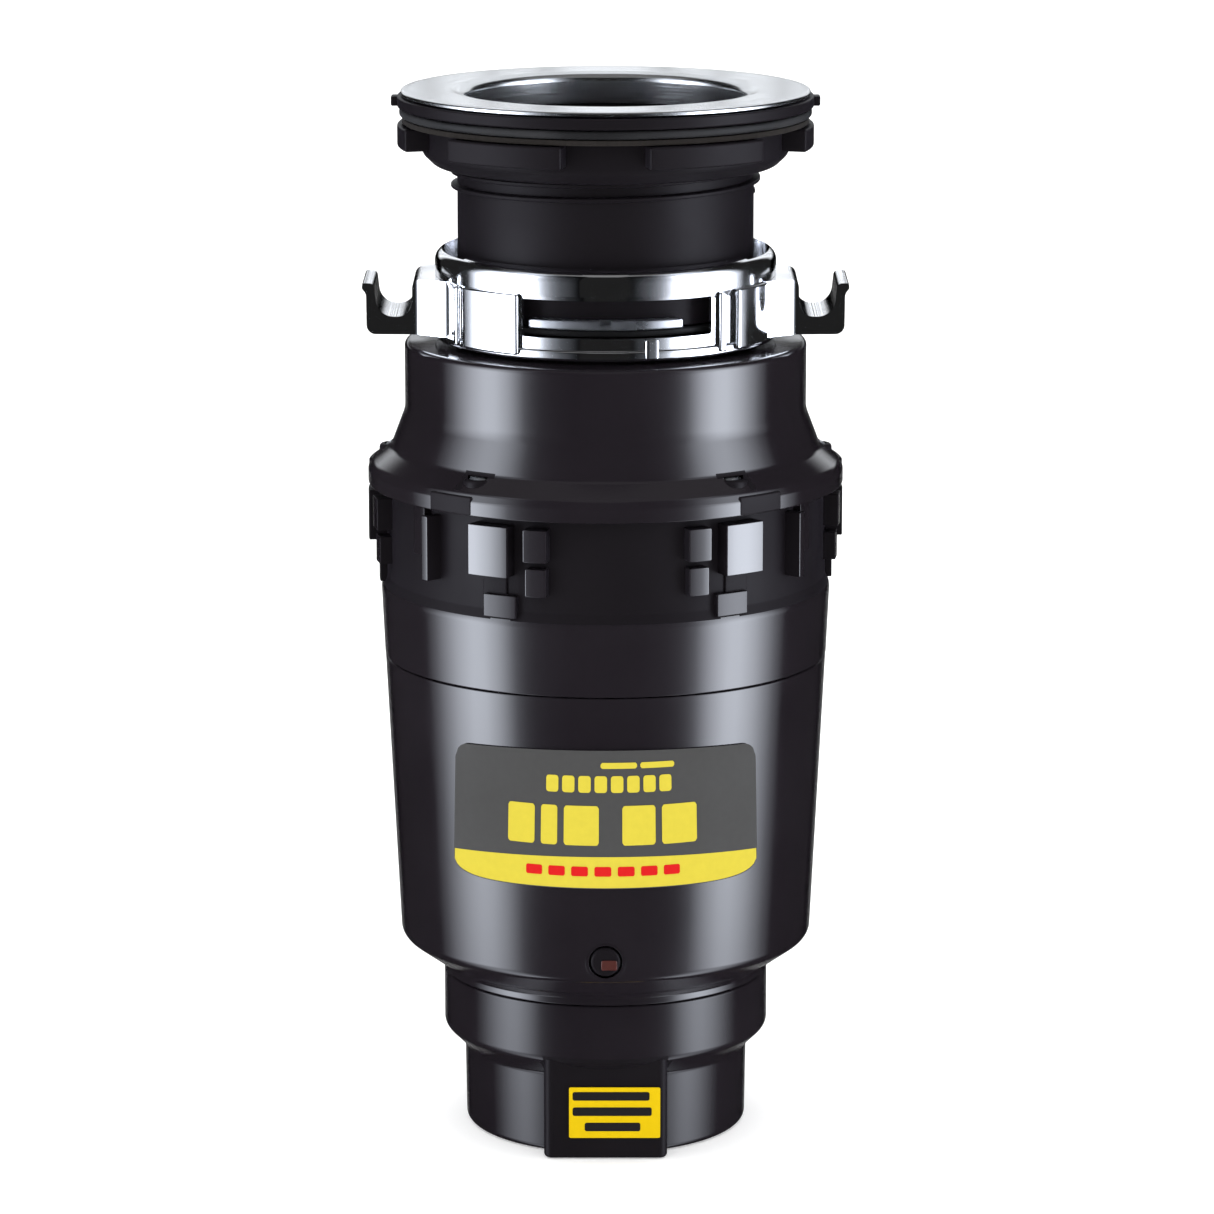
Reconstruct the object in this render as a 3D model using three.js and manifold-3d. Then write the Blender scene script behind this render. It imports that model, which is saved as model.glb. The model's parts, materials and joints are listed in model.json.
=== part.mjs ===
// Kitchen garbage disposer, built as an assembly. Millimetres, +Z up.
// The origin is the centre of the flat base, and azimuth 0 is the front, -Y, turning towards +X.
import * as THREE from 'three';
import { mergeVertices } from 'three/addons/utils/BufferGeometryUtils.js';
import Module from 'manifold-3d';

const wasm = await Module();
wasm.setup();

// ---------------------------------------------------------------- driving dimensions
const GAP = 0.3; // clearance between pieces that touch
const SEG = 28; // sides of a large round piece
const FINE = 16; // sides of a small round piece

// sink fitting
const FLANGE_TOP = 298;
const FLANGE_R = 57.2;
const LIP_R = 40.2;
const TUBE_R = 41.5;
const TUBE_WALL = 2.6;
const TUBE_BOTTOM = 236.7;
const TUBE_TOP = 296.3;
const PLATE_R = 58.2;
const PLATE_THICK = 3.1;
const THREAD_PITCH = 4;
const THREAD_R = 43.2;
const THREAD_LOW = 272;
const THREAD_TURNS = 4.6;
const THREAD_STEPS = 20; // steps in one turn
const NUT_LOW = 277;
const NUT_TOP = 288.5;
const NUT_BORE_R = 43.6;
const NUT_R = 51.3;
const NUT_WING_R = 58.4;
const NUT_WINGS = 6;
const LUG_R = 45.6;
const LUG_HALF_ANGLE = 28;
const LUG_TOP = 239.4;

// quarter-turn mounting ring
const RING_LOW = 228.5;
const RING_R = 47.6;
const RING_BORE_R = 46;
const RING_COLLAR_R = 42.3;
const RING_TOP = 254.6;
const WINDOW = { from: -29, to: 38, low: 234.7, high: 245.2 };
const EAR_REACH = 68;
const EAR_HALF_DEPTH = 14;

// hopper and grinding chamber
const NECK_R = 43;
const NECK_BORE_R = 38.6;
const NECK_TOP = 234.2;
const DECK = 227.5;
const HOPPER_R = 56.6;
const CHAMBER_R = 53.8;
const RIM_R = 67.3;
const RIM_LOW = 187.3;
const SCREWS = 6;
const SCREW_R = 59.2; // radius of the screw circle
const PAD_SKEW = 3.75; // the pads are turned a little from the screws
const PAD_FIRST = 33.75;
const STATION_STEP = 60;
const HOUSING_LOW = 137.9;
const HOUSING_TOP = 187;
const RECESS_R = 62.2;
const TROUGH_R = 54.2;
const TROUGH_LOW = 143.5;
const SHRED_R = 55.6;
const SHRED_BORE_R = 53;
const SHRED_LOW = 162.7;
const SHRED_TOP = 184.9;
const TABLE_R = 52.2;
const TABLE_LOW = 164.5;
const TABLE_THICK = 2;
const PIVOT_R = 32; // radius of the impeller pivots
const DRAIN_Z = 156.5;
const DRAIN_BORE_R = 15;
const DRAIN_BOSS_R = 18.4;
const DRAIN_FACE = 70;
const DRAIN_SCREW_X = 25;
const SPIGOT_Z = 216;

// motor
const SHAFT_R = 6;
const CORE_SHAFT_R = 7.5;
const SHAFT_LOW = 45;
const SHAFT_TOP = 176;
const BEARING = { outer: 16, inner: SHAFT_R + GAP, width: 10, pitch: 11, ball: 2.9, balls: 7 };
const UPPER_BEARING_LOW = 138.2;
const LOWER_BEARING_LOW = 46.6;
const CAN_R = 46;
const CAN_WALL = 2.5;
const CAN_LOW = 57.2;
const CAN_TOP = 139.6;
const MAGNET_THICK = 5.6;
const CORE_R = 36.6;
const CORE_LOW = 88;
const CORE_TOP = 122;
const SLOTS = 12;
const SLOT_WIDTH = 5.2;
const SLOT_FLOOR_R = 22.8;
const COMMUTATOR_R = 12;
const COMMUTATOR_LOW = 61;
const COMMUTATOR_TOP = 75;
const BRUSH_Z = 68;
const BRUSH_HALF = { y: 3.5, z: 4 };

// outer shells
const SHELL_TOP = 137.6;
const SHELL_TOP_R = 62.8;
const SHELL_EDGE = 56.3;
const SHELL_EDGE_R = 58.7;
const SHELL_LOW = 45.6;
const SHELL_LOW_R = 46.7;
const SHELL_WALL = 2.6;
const CAP_TOP = 45.3;
const CAP_R = 46.5;
const FOOT_R = 40.2;
const FOOT_TOP = 21.5;
const CAP_SCREW_R = 42.3;
const BOSS_HALF = 17.5;
const BOSS_FACE = 44;
const BUTTON_Z = 61.7;
const BUTTON_R = 4.2;
const BUTTON_FACE = 58.9;
const GLAND_Z = 11.4;

// ---------------------------------------------------------------- materials
const finish = (color, roughness, metalness) => ({ color, roughness, metalness });
const BLACK_PLASTIC = finish(0x1b191c, 0.22, 0);
const DARK_PLASTIC = finish(0x242226, 0.4, 0);
const RUBBER = finish(0x161517, 0.8, 0);
const FIBRE = finish(0x6a5645, 0.9, 0);
const CHROME = finish(0xdcdfe2, 0.1, 1);
const STAINLESS = finish(0xb9bcbf, 0.28, 1);
const STEEL = finish(0x8d9094, 0.4, 1);
const BEARING_STEEL = finish(0xa7abb0, 0.2, 1);
const FERRITE = finish(0x3b3b3e, 0.7, 0.1);
const COPPER = finish(0xb06a3a, 0.35, 1);
const BRASS = finish(0xb99a4f, 0.35, 1);
const CARBON = finish(0x2a2a2b, 0.75, 0);
const ALUMINIUM = finish(0x9fa2a5, 0.45, 1);
const LABEL_GREY = finish(0x545454, 0.5, 0);
const LABEL_YELLOW = finish(0xe8cf1c, 0.45, 0);
const RED_PLASTIC = finish(0xb32015, 0.35, 0);

// ---------------------------------------------------------------- geometry helpers
const radians = (degrees) => (degrees * Math.PI) / 180;
const range = (count) => Array.from({ length: count }, (_, index) => index);
const onCircle = (radius, azimuth) => [
  radius * Math.sin(radians(azimuth)),
  -radius * Math.cos(radians(azimuth)),
];

function signedVolume(geometry) {
  const [a, b, c] = [new THREE.Vector3(), new THREE.Vector3(), new THREE.Vector3()];
  const { position } = geometry.attributes;
  let total = 0;
  for (let i = 0; i < geometry.index.count; i += 3) {
    a.fromBufferAttribute(position, geometry.index.getX(i));
    b.fromBufferAttribute(position, geometry.index.getX(i + 1));
    c.fromBufferAttribute(position, geometry.index.getX(i + 2));
    total += a.dot(b.cross(c)) / 6;
  }
  return total;
}

// Merges shared vertices, drops collapsed triangles and turns the faces outwards.
function weld(source) {
  const bare = source.clone();
  bare.deleteAttribute('normal');
  bare.deleteAttribute('uv');
  const merged = mergeVertices(bare, 1e-4);
  const corners = [];
  for (let i = 0; i < merged.index.count; i += 3) {
    const face = [0, 1, 2].map((k) => merged.index.getX(i + k));
    if (new Set(face).size === 3) corners.push(...face);
  }
  merged.setIndex(corners);
  if (signedVolume(merged) < 0) merged.setIndex(corners.reverse());
  return merged;
}

function toSolid(source) {
  const geometry = weld(source);
  const mesh = new wasm.Mesh({
    numProp: 3,
    vertProperties: new Float32Array(geometry.attributes.position.array),
    triVerts: new Uint32Array(geometry.index.array),
  });
  mesh.merge();
  return new wasm.Manifold(mesh);
}

function toGeometry(solid) {
  const mesh = solid.getMesh();
  const geometry = new THREE.BufferGeometry();
  geometry.setAttribute('position', new THREE.BufferAttribute(mesh.vertProperties, 3));
  geometry.setIndex(new THREE.BufferAttribute(mesh.triVerts, 1));
  return geometry;
}

const joined = (pieces) => pieces.map(toSolid).reduce((sum, next) => sum.add(next));
const join = (...pieces) => toGeometry(joined(pieces));
const cut = (base, ...tools) => toGeometry(toSolid(base).subtract(joined(tools)));
const common = (base, tool) => toGeometry(toSolid(base).intersect(toSolid(tool)));

// A round piece about Z from a closed profile of [radius, height] points.
function lathe(profile, sides = SEG) {
  const points = [...profile, profile[0]].map(([r, z]) => new THREE.Vector2(r, z));
  return new THREE.LatheGeometry(points, sides).rotateX(Math.PI / 2);
}

const tube = (rIn, rOut, low, high, sides = SEG) =>
  lathe([[rIn, low], [rOut, low], [rOut, high], [rIn, high]], sides);

const rod = (radius, low, high, x = 0, y = 0, sides = FINE) =>
  new THREE.CylinderGeometry(radius, radius, high - low, sides)
    .rotateX(Math.PI / 2)
    .translate(x, y, (low + high) / 2);

const rodY = (radius, from, to, x, z, sides = FINE) =>
  new THREE.CylinderGeometry(radius, radius, to - from, sides).translate(x, (from + to) / 2, z);

const box = ([x0, x1], [y0, y1], [z0, z1]) =>
  new THREE.BoxGeometry(x1 - x0, y1 - y0, z1 - z0).translate(
    (x0 + x1) / 2,
    (y0 + y1) / 2,
    (z0 + z1) / 2,
  );

const prism = (shape, low, high) =>
  new THREE.ExtrudeGeometry(shape, {
    depth: high - low,
    bevelEnabled: false,
    curveSegments: 6,
  }).translate(0, 0, low);

const outline = (points) => new THREE.Shape(points.map(([x, y]) => new THREE.Vector2(x, y)));

// A block between two radii and two azimuths, with curved faces stepped every few degrees.
function sector(rIn, rOut, from, to, low, high) {
  const steps = Math.ceil((to - from) / 12);
  const arc = (radius) => range(steps + 1).map((i) => onCircle(radius, from + ((to - from) * i) / steps));
  return prism(outline([...arc(rOut), ...arc(rIn).reverse()]), low, high);
}

const spunZ = (geometry, degrees) => geometry.clone().rotateZ(radians(degrees));
const twinned = (geometry) => [geometry, spunZ(geometry, 180)];

// A right-handed thread rib: a trapezoid section swept about Z.
function threadRib(rootR, crestR, startZ, turns) {
  const section = outline([[rootR, -0.9], [crestR, -0.5], [crestR, 0.5], [rootR, 0.9]]);
  const sweep = turns * 2 * Math.PI;
  const rib = new THREE.ExtrudeGeometry(section, {
    depth: sweep,
    steps: Math.round(turns * THREAD_STEPS),
    bevelEnabled: false,
  });
  const { position } = rib.attributes;
  for (let i = 0; i < position.count; i += 1) {
    const [radius, height, turn] = [position.getX(i), position.getY(i), position.getZ(i)];
    const rise = startZ + height + (THREAD_PITCH * turn) / (2 * Math.PI);
    position.setXYZ(i, radius * Math.cos(turn), radius * Math.sin(turn), rise);
  }
  return rib;
}

// A coil spring along +X from x = 0, later turned to its own axis.
class CoilCurve extends THREE.Curve {
  constructor(radius, length, turns) {
    super();
    Object.assign(this, { radius, length, turns });
  }

  getPoint(t) {
    const angle = t * this.turns * 2 * Math.PI;
    return new THREE.Vector3(t * this.length, this.radius * Math.cos(angle), this.radius * Math.sin(angle));
  }
}

function coil(radius, length, turns, wire) {
  const section = outline([[wire, 0], [0, wire], [-wire, 0], [0, -wire]]);
  const extrudePath = new CoilCurve(radius, length, turns);
  return new THREE.ExtrudeGeometry(section, { extrudePath, steps: turns * 8, bevelEnabled: false });
}

// ---------------------------------------------------------------- sink fitting
function sinkFlange() {
  const under = FLANGE_TOP - 1.4;
  return lathe([
    [LIP_R - 0.9, FLANGE_TOP - 9],
    [LIP_R, FLANGE_TOP - 9],
    [LIP_R, under],
    [FLANGE_R, under],
    [FLANGE_R, FLANGE_TOP - 0.4],
    [FLANGE_R - 0.5, FLANGE_TOP],
    [LIP_R + 0.6, FLANGE_TOP],
    [LIP_R - 0.9, FLANGE_TOP - 1.2],
  ]);
}

function mountTube() {
  const bore = TUBE_R - TUBE_WALL;
  const seat = LIP_R + GAP;
  const body = lathe([
    [bore, TUBE_BOTTOM],
    [TUBE_R, TUBE_BOTTOM],
    [TUBE_R, TUBE_TOP - PLATE_THICK],
    [PLATE_R, TUBE_TOP - PLATE_THICK],
    [PLATE_R, TUBE_TOP],
    [seat, TUBE_TOP],
    [seat, FLANGE_TOP - 9.5],
    [bore, FLANGE_TOP - 9.5],
  ]);
  const thread = threadRib(TUBE_R - 0.5, THREAD_R, THREAD_LOW, THREAD_TURNS);
  const lug = cut(
    sector(TUBE_R - 0.6, LUG_R, -LUG_HALF_ANGLE, LUG_HALF_ANGLE, TUBE_BOTTOM, LUG_TOP),
    sector(TUBE_R + 2.2, LUG_R + 1, -2, 2, TUBE_BOTTOM + 1.4, LUG_TOP + 1),
  );
  const tab = sector(PLATE_R - 1, PLATE_R + 1.8, 87, 93, TUBE_TOP - PLATE_THICK, TUBE_TOP - 0.2);
  return join(body, thread, ...twinned(lug), ...twinned(tab));
}

function supportNut() {
  const body = lathe([
    [NUT_BORE_R, NUT_LOW],
    [NUT_R - 4.5, NUT_LOW],
    [NUT_R - 1.5, NUT_LOW + 1],
    [NUT_R, NUT_LOW + 3.4],
    [NUT_R, NUT_TOP],
    [NUT_BORE_R, NUT_TOP],
  ]);
  const wing = sector(NUT_R - 1, NUT_WING_R, 72, 108, NUT_LOW + 4.5, NUT_TOP);
  const wings = range(NUT_WINGS).map((i) => spunZ(wing, (i * 360) / NUT_WINGS));
  const thread = threadRib(NUT_BORE_R + 0.5, TUBE_R + 0.9, THREAD_LOW + 1.5 * THREAD_PITCH, 2.25);
  return join(body, ...wings, thread);
}

function splashBaffle() {
  const wall = TUBE_R - TUBE_WALL - GAP - 0.1;
  const body = lathe([
    [wall - 2, NECK_TOP + GAP],
    [NECK_R, NECK_TOP + GAP],
    [NECK_R, TUBE_BOTTOM - GAP],
    [wall, TUBE_BOTTOM - GAP],
    [wall, 262],
    [8, 262],
    [8, 260],
    [wall - 2, 260],
  ]);
  const slits = range(8).map((i) => spunZ(box([6, 32], [-0.6, 0.6], [259, 263]), 22.5 + i * 45));
  return cut(body, ...slits);
}

// ---------------------------------------------------------------- mounting ring
function hookEar() {
  const ear = outline([
    [42, 230.6],
    [EAR_REACH - 2, 230.6],
    [EAR_REACH, 232.6],
    [EAR_REACH, 243.6],
    [EAR_REACH - 1.4, 245],
    [EAR_REACH - 3.2, 244.2],
    [EAR_REACH - 4.3, 239.5],
    [EAR_REACH - 7, 236.2],
    [EAR_REACH - 9.5, 235.5],
    [EAR_REACH - 12, 236.4],
    [54, 239.6],
    [54, 244.6],
    [52.6, 246],
    [42, 246],
  ]);
  const depth = EAR_HALF_DEPTH;
  const bar = prism(ear, -depth, depth).rotateX(Math.PI / 2);
  const plan = outline([
    [42, -depth - 1],
    [50, -depth],
    [EAR_REACH - 1, -depth],
    [EAR_REACH + 1, 0],
    [EAR_REACH - 1, depth],
    [50, depth],
    [42, depth + 1],
  ]);
  return common(bar, prism(plan, 230, 247));
}

function mountRing() {
  const outer = lathe([
    [0, RING_LOW],
    [RING_R, RING_LOW],
    [RING_R + 0.8, RING_LOW + 0.8],
    [RING_R, RING_LOW + 2.2],
    [RING_R, 244.6],
    [RING_R + 1.2, 246.6],
    [RING_R + 1.2, 251.4],
    [RING_R - 0.4, RING_TOP - 0.9],
    [RING_R - 2.4, RING_TOP],
    [0, RING_TOP],
  ]);
  const bore = lathe([
    [0, RING_LOW - 1],
    [NECK_R + 0.4, RING_LOW - 1],
    [NECK_R + 0.4, RING_LOW + 2.5],
    [RING_BORE_R, RING_LOW + 2.5],
    [RING_BORE_R, 245.4],
    [RING_COLLAR_R, 245.4],
    [RING_COLLAR_R, RING_TOP - 1.6],
    [RING_COLLAR_R + 1.6, RING_TOP + 1],
    [0, RING_TOP + 1],
  ]);
  const pads = [
    sector(RING_BORE_R + 1, RING_R + 1.9, -54, -29.5, RING_LOW + 0.9, 246.6),
    sector(RING_BORE_R + 1, RING_R + 1.9, 48, 67, RING_LOW + 0.9, 246.6),
    sector(RING_BORE_R + 1, RING_R + 1.4, 13, 17.5, RING_LOW + 0.2, WINDOW.low),
  ];
  const window = sector(RING_BORE_R - 2, RING_R + 4, WINDOW.from, WINDOW.to, WINDOW.low, WINDOW.high);
  const entry = sector(RING_COLLAR_R - 1, RING_BORE_R - 0.1, 59, 121, 245, RING_TOP + 1);
  const solid = join(outer, ...twinned(hookEar()), ...pads.flatMap(twinned));
  return cut(solid, bore, ...twinned(window), ...twinned(entry));
}

const snapRing = () => sector(NECK_R - 0.4, LUG_R, 8, 352, RING_LOW + 3.1, RING_LOW + 4.8);

// ---------------------------------------------------------------- hopper and grinding chamber
const screwAzimuth = (i) => 35 + (i % 3) * STATION_STEP;
const screwSide = (i) => (i < 3 ? 1 : -1);
const screwPlace = (i) => onCircle(SCREW_R, screwSide(i) * screwAzimuth(i));

function hopper() {
  const body = lathe([
    [NECK_BORE_R, NECK_TOP],
    [NECK_R, NECK_TOP],
    [NECK_R, 233.6],
    [NECK_R - 0.8, 233.6],
    [NECK_R - 0.8, 231.3],
    [NECK_R, 231.3],
    [NECK_R, DECK],
    [HOPPER_R - 1.4, DECK],
    [HOPPER_R, DECK - 1.4],
    [HOPPER_R, 208],
    [60.6, 198],
    [66.2, 193],
    [RIM_R, 190],
    [RIM_R, RIM_LOW],
    [CHAMBER_R, RIM_LOW],
    [CHAMBER_R, DECK - 2.8],
    [NECK_BORE_R, DECK - 2.8],
  ]);
  const bosses = range(SCREWS).map((i) => rod(4.8, RIM_LOW, 194.6, ...screwPlace(i), 12));
  const holes = range(SCREWS).map((i) => rod(2.2, RIM_LOW - 1, 206, ...screwPlace(i), 8));
  const heads = range(SCREWS).map((i) => rod(4.1, 194.6, 206, ...screwPlace(i), 12));
  const spigot = rodY(9.5, CHAMBER_R + 0.8, 75, 0, SPIGOT_Z);
  const barb = rodY(10.3, 70, 72, 0, SPIGOT_Z);
  const knockOut = rodY(7.4, CHAMBER_R + 2.6, 76, 0, SPIGOT_Z);
  return cut(join(body, ...bosses, spigot, barb), ...holes, ...heads, knockOut);
}

function housingPads() {
  const stations = [-1, 1].flatMap((side) => range(3).map((k) => ({
    side,
    azimuth: PAD_SKEW + side * (PAD_FIRST + STATION_STEP * k),
  })));
  return stations.flatMap(({ side, azimuth }) => {
    const inner = azimuth - side * 13.5;
    return [
      sector(RECESS_R - 0.6, RIM_R, azimuth - 5.8, azimuth + 5.8, 172.2, HOUSING_TOP - 0.4),
      sector(RECESS_R - 0.6, 65.8, azimuth - 4, azimuth + 4, 159.5, 172.4),
      sector(RECESS_R - 0.6, RIM_R - 0.6, inner - 3.4, inner + 3.4, 176, HOUSING_TOP - 0.4),
      sector(RECESS_R - 0.6, RIM_R - 1.2, inner - 3, inner + 3, 166.5, 175),
      sector(RECESS_R - 0.6, RIM_R, azimuth + side * 21, azimuth + side * 21 + 2, 168, HOUSING_TOP - 0.4),
    ];
  });
}

function grindHousing() {
  const body = lathe([
    [SHELL_TOP_R + 0.1, HOUSING_LOW],
    [63.7, 157],
    [RECESS_R, 161],
    [RECESS_R, HOUSING_TOP],
    [SHRED_R + GAP, HOUSING_TOP],
    [SHRED_R + GAP, SHRED_LOW - GAP],
    [TROUGH_R, SHRED_LOW - GAP],
    [TROUGH_R, TROUGH_LOW + 2.5],
    [20, TROUGH_LOW],
    [20, 158],
    [13.3, 158],
    [13.3, 151],
    [10, 151],
    [10, UPPER_BEARING_LOW + BEARING.width + GAP],
    [BEARING.outer + GAP, UPPER_BEARING_LOW + BEARING.width + GAP],
    [BEARING.outer + GAP, HOUSING_LOW],
    [20, HOUSING_LOW],
    [20, 140],
    [58.5, 140],
    [58.5, HOUSING_LOW],
  ]);
  const boss = rodY(DRAIN_BOSS_R, TROUGH_R + 3, DRAIN_FACE, 0, DRAIN_Z, 24);
  const ears = [-1, 1].map((side) => rodY(5.4, TROUGH_R + 3, DRAIN_FACE, side * DRAIN_SCREW_X, DRAIN_Z));
  const web = box([-DRAIN_SCREW_X, DRAIN_SCREW_X], [TROUGH_R + 3, DRAIN_FACE], [DRAIN_Z - 5, DRAIN_Z + 5]);
  const bore = rodY(DRAIN_BORE_R, TROUGH_R - 2, DRAIN_FACE + 1, 0, DRAIN_Z, 24);
  const drainHoles = [-1, 1].map((side) => rodY(1.8, 62, DRAIN_FACE + 1, side * DRAIN_SCREW_X, DRAIN_Z, 12));
  const screwHoles = range(SCREWS).map((i) => rod(2.2, 170, HOUSING_TOP + 1, ...screwPlace(i), 8));
  const seat = tube(0.1, SHRED_R + GAP, SHRED_LOW - GAP, HOUSING_TOP + 1);
  const solid = join(body, ...housingPads(), boss, ...ears, web);
  return cut(solid, bore, seat, ...drainHoles, ...screwHoles);
}

function shredderRing() {
  const body = tube(SHRED_BORE_R, SHRED_R, SHRED_LOW, SHRED_TOP);
  const notches = range(16).map((i) =>
    spunZ(box([SHRED_BORE_R - 2, SHRED_R + 2], [-1.6, 1.6], [SHRED_LOW - 1, 169.5]), i * 22.5));
  const windows = range(8).map((i) =>
    spunZ(box([SHRED_BORE_R - 2, SHRED_R + 2], [-3, 3], [173, 179]), 11.25 + i * 45));
  return cut(body, ...notches, ...windows);
}

function turntable() {
  const top = TABLE_LOW + TABLE_THICK;
  const body = lathe([
    [SHAFT_R + GAP, 159],
    [10.5, 159],
    [10.5, TABLE_LOW],
    [TABLE_R, TABLE_LOW],
    [TABLE_R, top],
    [SHAFT_R + GAP, top],
  ]);
  const pivots = [-1, 1].map((side) => rod(4.2, TABLE_LOW - 1, top + 1, side * PIVOT_R, 0, 16));
  return cut(body, ...pivots);
}

// Swinging lug that pivots on its rivet, made for the +X side.
function impeller() {
  const low = TABLE_LOW + TABLE_THICK + 0.5;
  const blade = outline([[-6, -5], [-3, -7], [5, -7], [18, -6], [18, 6], [5, 7], [-3, 7], [-6, 5]]);
  const head = box([10.5, 18], [-6, 6], [low, low + 10]);
  const body = join(prism(blade, low, low + 2.6), head);
  return cut(body, rod(4.2, low - 1, low + 3.5, 0, 0, 16));
}

function rivet() {
  const low = TABLE_LOW - 0.4;
  const plate = TABLE_LOW + TABLE_THICK + 0.5 + 2.6;
  return lathe([
    [0, low - 1.6],
    [6, low - 1.6],
    [6, low],
    [3.9, low],
    [3.9, plate + 0.3],
    [6, plate + 0.3],
    [5, plate + 2],
    [0, plate + 2],
  ], 16);
}

function turntableNut() {
  const low = TABLE_LOW + TABLE_THICK + GAP;
  return cut(rod(9.4, low, low + 6.5, 0, 0, 6), rod(SHAFT_R + GAP, low - 1, low + 8));
}

const shaftSeal = () => lathe([
  [SHAFT_R + GAP, 153],
  [9, 151.4],
  [13, 151.4],
  [13, 157.6],
  [9, 157.6],
  [SHAFT_R + GAP, 155],
], FINE);

function drainGasket() {
  return cut(
    rodY(DRAIN_BOSS_R, DRAIN_FACE + GAP, DRAIN_FACE + 2.3, 0, DRAIN_Z, 24),
    rodY(DRAIN_BORE_R, DRAIN_FACE, DRAIN_FACE + 3, 0, DRAIN_Z, 24),
  );
}

function drainFlange() {
  const back = DRAIN_FACE + 2.6;
  const front = back + 3;
  const collar = front + 4.4;
  const reach = DRAIN_SCREW_X + 6;
  const plate = outline([
    [-reach, -4],
    [-reach + 4, -7],
    [-14, -18],
    [14, -18],
    [reach - 4, -7],
    [reach, -4],
    [reach, 4],
    [reach - 4, 7],
    [14, 18],
    [-14, 18],
    [-reach + 4, 7],
    [-reach, 4],
  ]);
  const disc = prism(plate, -front, -back).rotateX(Math.PI / 2).translate(0, 0, DRAIN_Z);
  const rim = rodY(DRAIN_BORE_R + 3, back, collar, 0, DRAIN_Z, 24);
  const bore = rodY(DRAIN_BORE_R, back - 1, collar + 1, 0, DRAIN_Z, 24);
  const holes = [-1, 1].map((side) => rodY(2.4, back - 1, front + 1, side * DRAIN_SCREW_X, DRAIN_Z, 12));
  return cut(join(disc, rim), bore, ...holes);
}

// ---------------------------------------------------------------- fasteners
// A pan-head screw that hangs head up from z = 0.
const screw = (headR, headH, shankR, length) => lathe([
  [0, -length],
  [shankR * 0.5, -length],
  [shankR, -length + shankR],
  [shankR, 0],
  [headR, 0],
  [headR, headH * 0.6],
  [headR * 0.7, headH],
  [0, headH],
], 8);

// ---------------------------------------------------------------- motor
const bearingMiddle = (low) => low + BEARING.width / 2;

function grooveArc(low, side) {
  const groove = BEARING.ball + 0.35;
  const lip = 1.8;
  const half = Math.asin(Math.sqrt(groove ** 2 - lip ** 2) / groove);
  return [1, 0.35, -0.35, -1].map((part) => {
    const angle = half * part;
    return [BEARING.pitch + side * groove * Math.cos(angle), bearingMiddle(low) + groove * Math.sin(angle)];
  });
}

function outerRace(low) {
  const high = low + BEARING.width;
  return lathe([[BEARING.outer, low], [BEARING.outer, high], [12.8, high], ...grooveArc(low, 1), [12.8, low]], FINE);
}

function innerRace(low) {
  const high = low + BEARING.width;
  return lathe([[BEARING.inner, low], [BEARING.inner, high], [9.2, high], ...grooveArc(low, -1), [9.2, low]], FINE);
}

function ballCage(low) {
  const middle = bearingMiddle(low);
  const balls = range(BEARING.balls).map((i) => {
    const [x, y] = onCircle(BEARING.pitch, (i * 360) / BEARING.balls);
    return new THREE.SphereGeometry(BEARING.ball, 6, 4).rotateX(Math.PI / 2).translate(x, y, middle);
  });
  return join(tube(10.2, 11.8, middle - 1, middle + 1, 14), ...balls);
}

const shaft = () => lathe([
  [0, SHAFT_LOW],
  [SHAFT_R - 0.5, SHAFT_LOW],
  [SHAFT_R, SHAFT_LOW + 0.5],
  [SHAFT_R, LOWER_BEARING_LOW + BEARING.width + GAP],
  [CORE_SHAFT_R, LOWER_BEARING_LOW + BEARING.width + GAP],
  [CORE_SHAFT_R, UPPER_BEARING_LOW - GAP],
  [SHAFT_R, UPPER_BEARING_LOW - GAP],
  [SHAFT_R, SHAFT_TOP - 0.5],
  [SHAFT_R - 0.5, SHAFT_TOP],
  [0, SHAFT_TOP],
], FINE);

function magnet(azimuth) {
  const outer = CAN_R - CAN_WALL - 3 * GAP;
  return sector(outer - MAGNET_THICK, outer, azimuth - 62, azimuth + 62, CORE_LOW - 4, CORE_TOP + 4);
}

// A disc whose edge has one straight slot in the middle of each pitch.
function slottedDisc(radius, floorR, slotWidth, low, high) {
  const half = Math.asin(slotWidth / 2 / radius);
  const pitch = (2 * Math.PI) / SLOTS;
  const points = range(SLOTS).flatMap((i) => {
    const middle = i * pitch;
    const wall = (r, side) => [
      r * Math.cos(middle) - side * (slotWidth / 2) * Math.sin(middle),
      r * Math.sin(middle) + side * (slotWidth / 2) * Math.cos(middle),
    ];
    const onEdge = (angle) => [radius * Math.cos(angle), radius * Math.sin(angle)];
    const tooth = [1, 2].map((k) => onEdge(middle + half + ((pitch - 2 * half) * k) / 3));
    return [onEdge(middle - half), wall(floorR, -1), wall(floorR, 1), onEdge(middle + half), ...tooth];
  });
  return cut(prism(outline(points), low, high), rod(CORE_SHAFT_R + GAP, low - 1, high + 1));
}

const armatureCore = () => slottedDisc(CORE_R, SLOT_FLOOR_R, SLOT_WIDTH, CORE_LOW, CORE_TOP);
const commutator = () => slottedDisc(COMMUTATOR_R, COMMUTATOR_R - 1.4, 0.8, COMMUTATOR_LOW, COMMUTATOR_TOP);

function windings() {
  const endTurn = (low, high) => lathe([
    [14, low],
    [30, low],
    [34.5, low + 2],
    [34.5, high],
    [14, high],
  ], SLOTS);
  const lower = endTurn(CORE_LOW - 7, CORE_LOW - 0.4);
  const upper = endTurn(CORE_LOW - 7, CORE_LOW - 0.4)
    .translate(0, 0, -CORE_LOW)
    .rotateX(Math.PI)
    .translate(0, 0, CORE_TOP);
  const bars = range(SLOTS).map((i) => spunZ(
    box([SLOT_FLOOR_R + 0.5, 34.4], [-SLOT_WIDTH / 2 + 0.4, SLOT_WIDTH / 2 - 0.4], [CORE_LOW - 2, CORE_TOP + 2]),
    (i * 360) / SLOTS,
  ));
  return join(lower, upper, ...bars);
}

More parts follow.
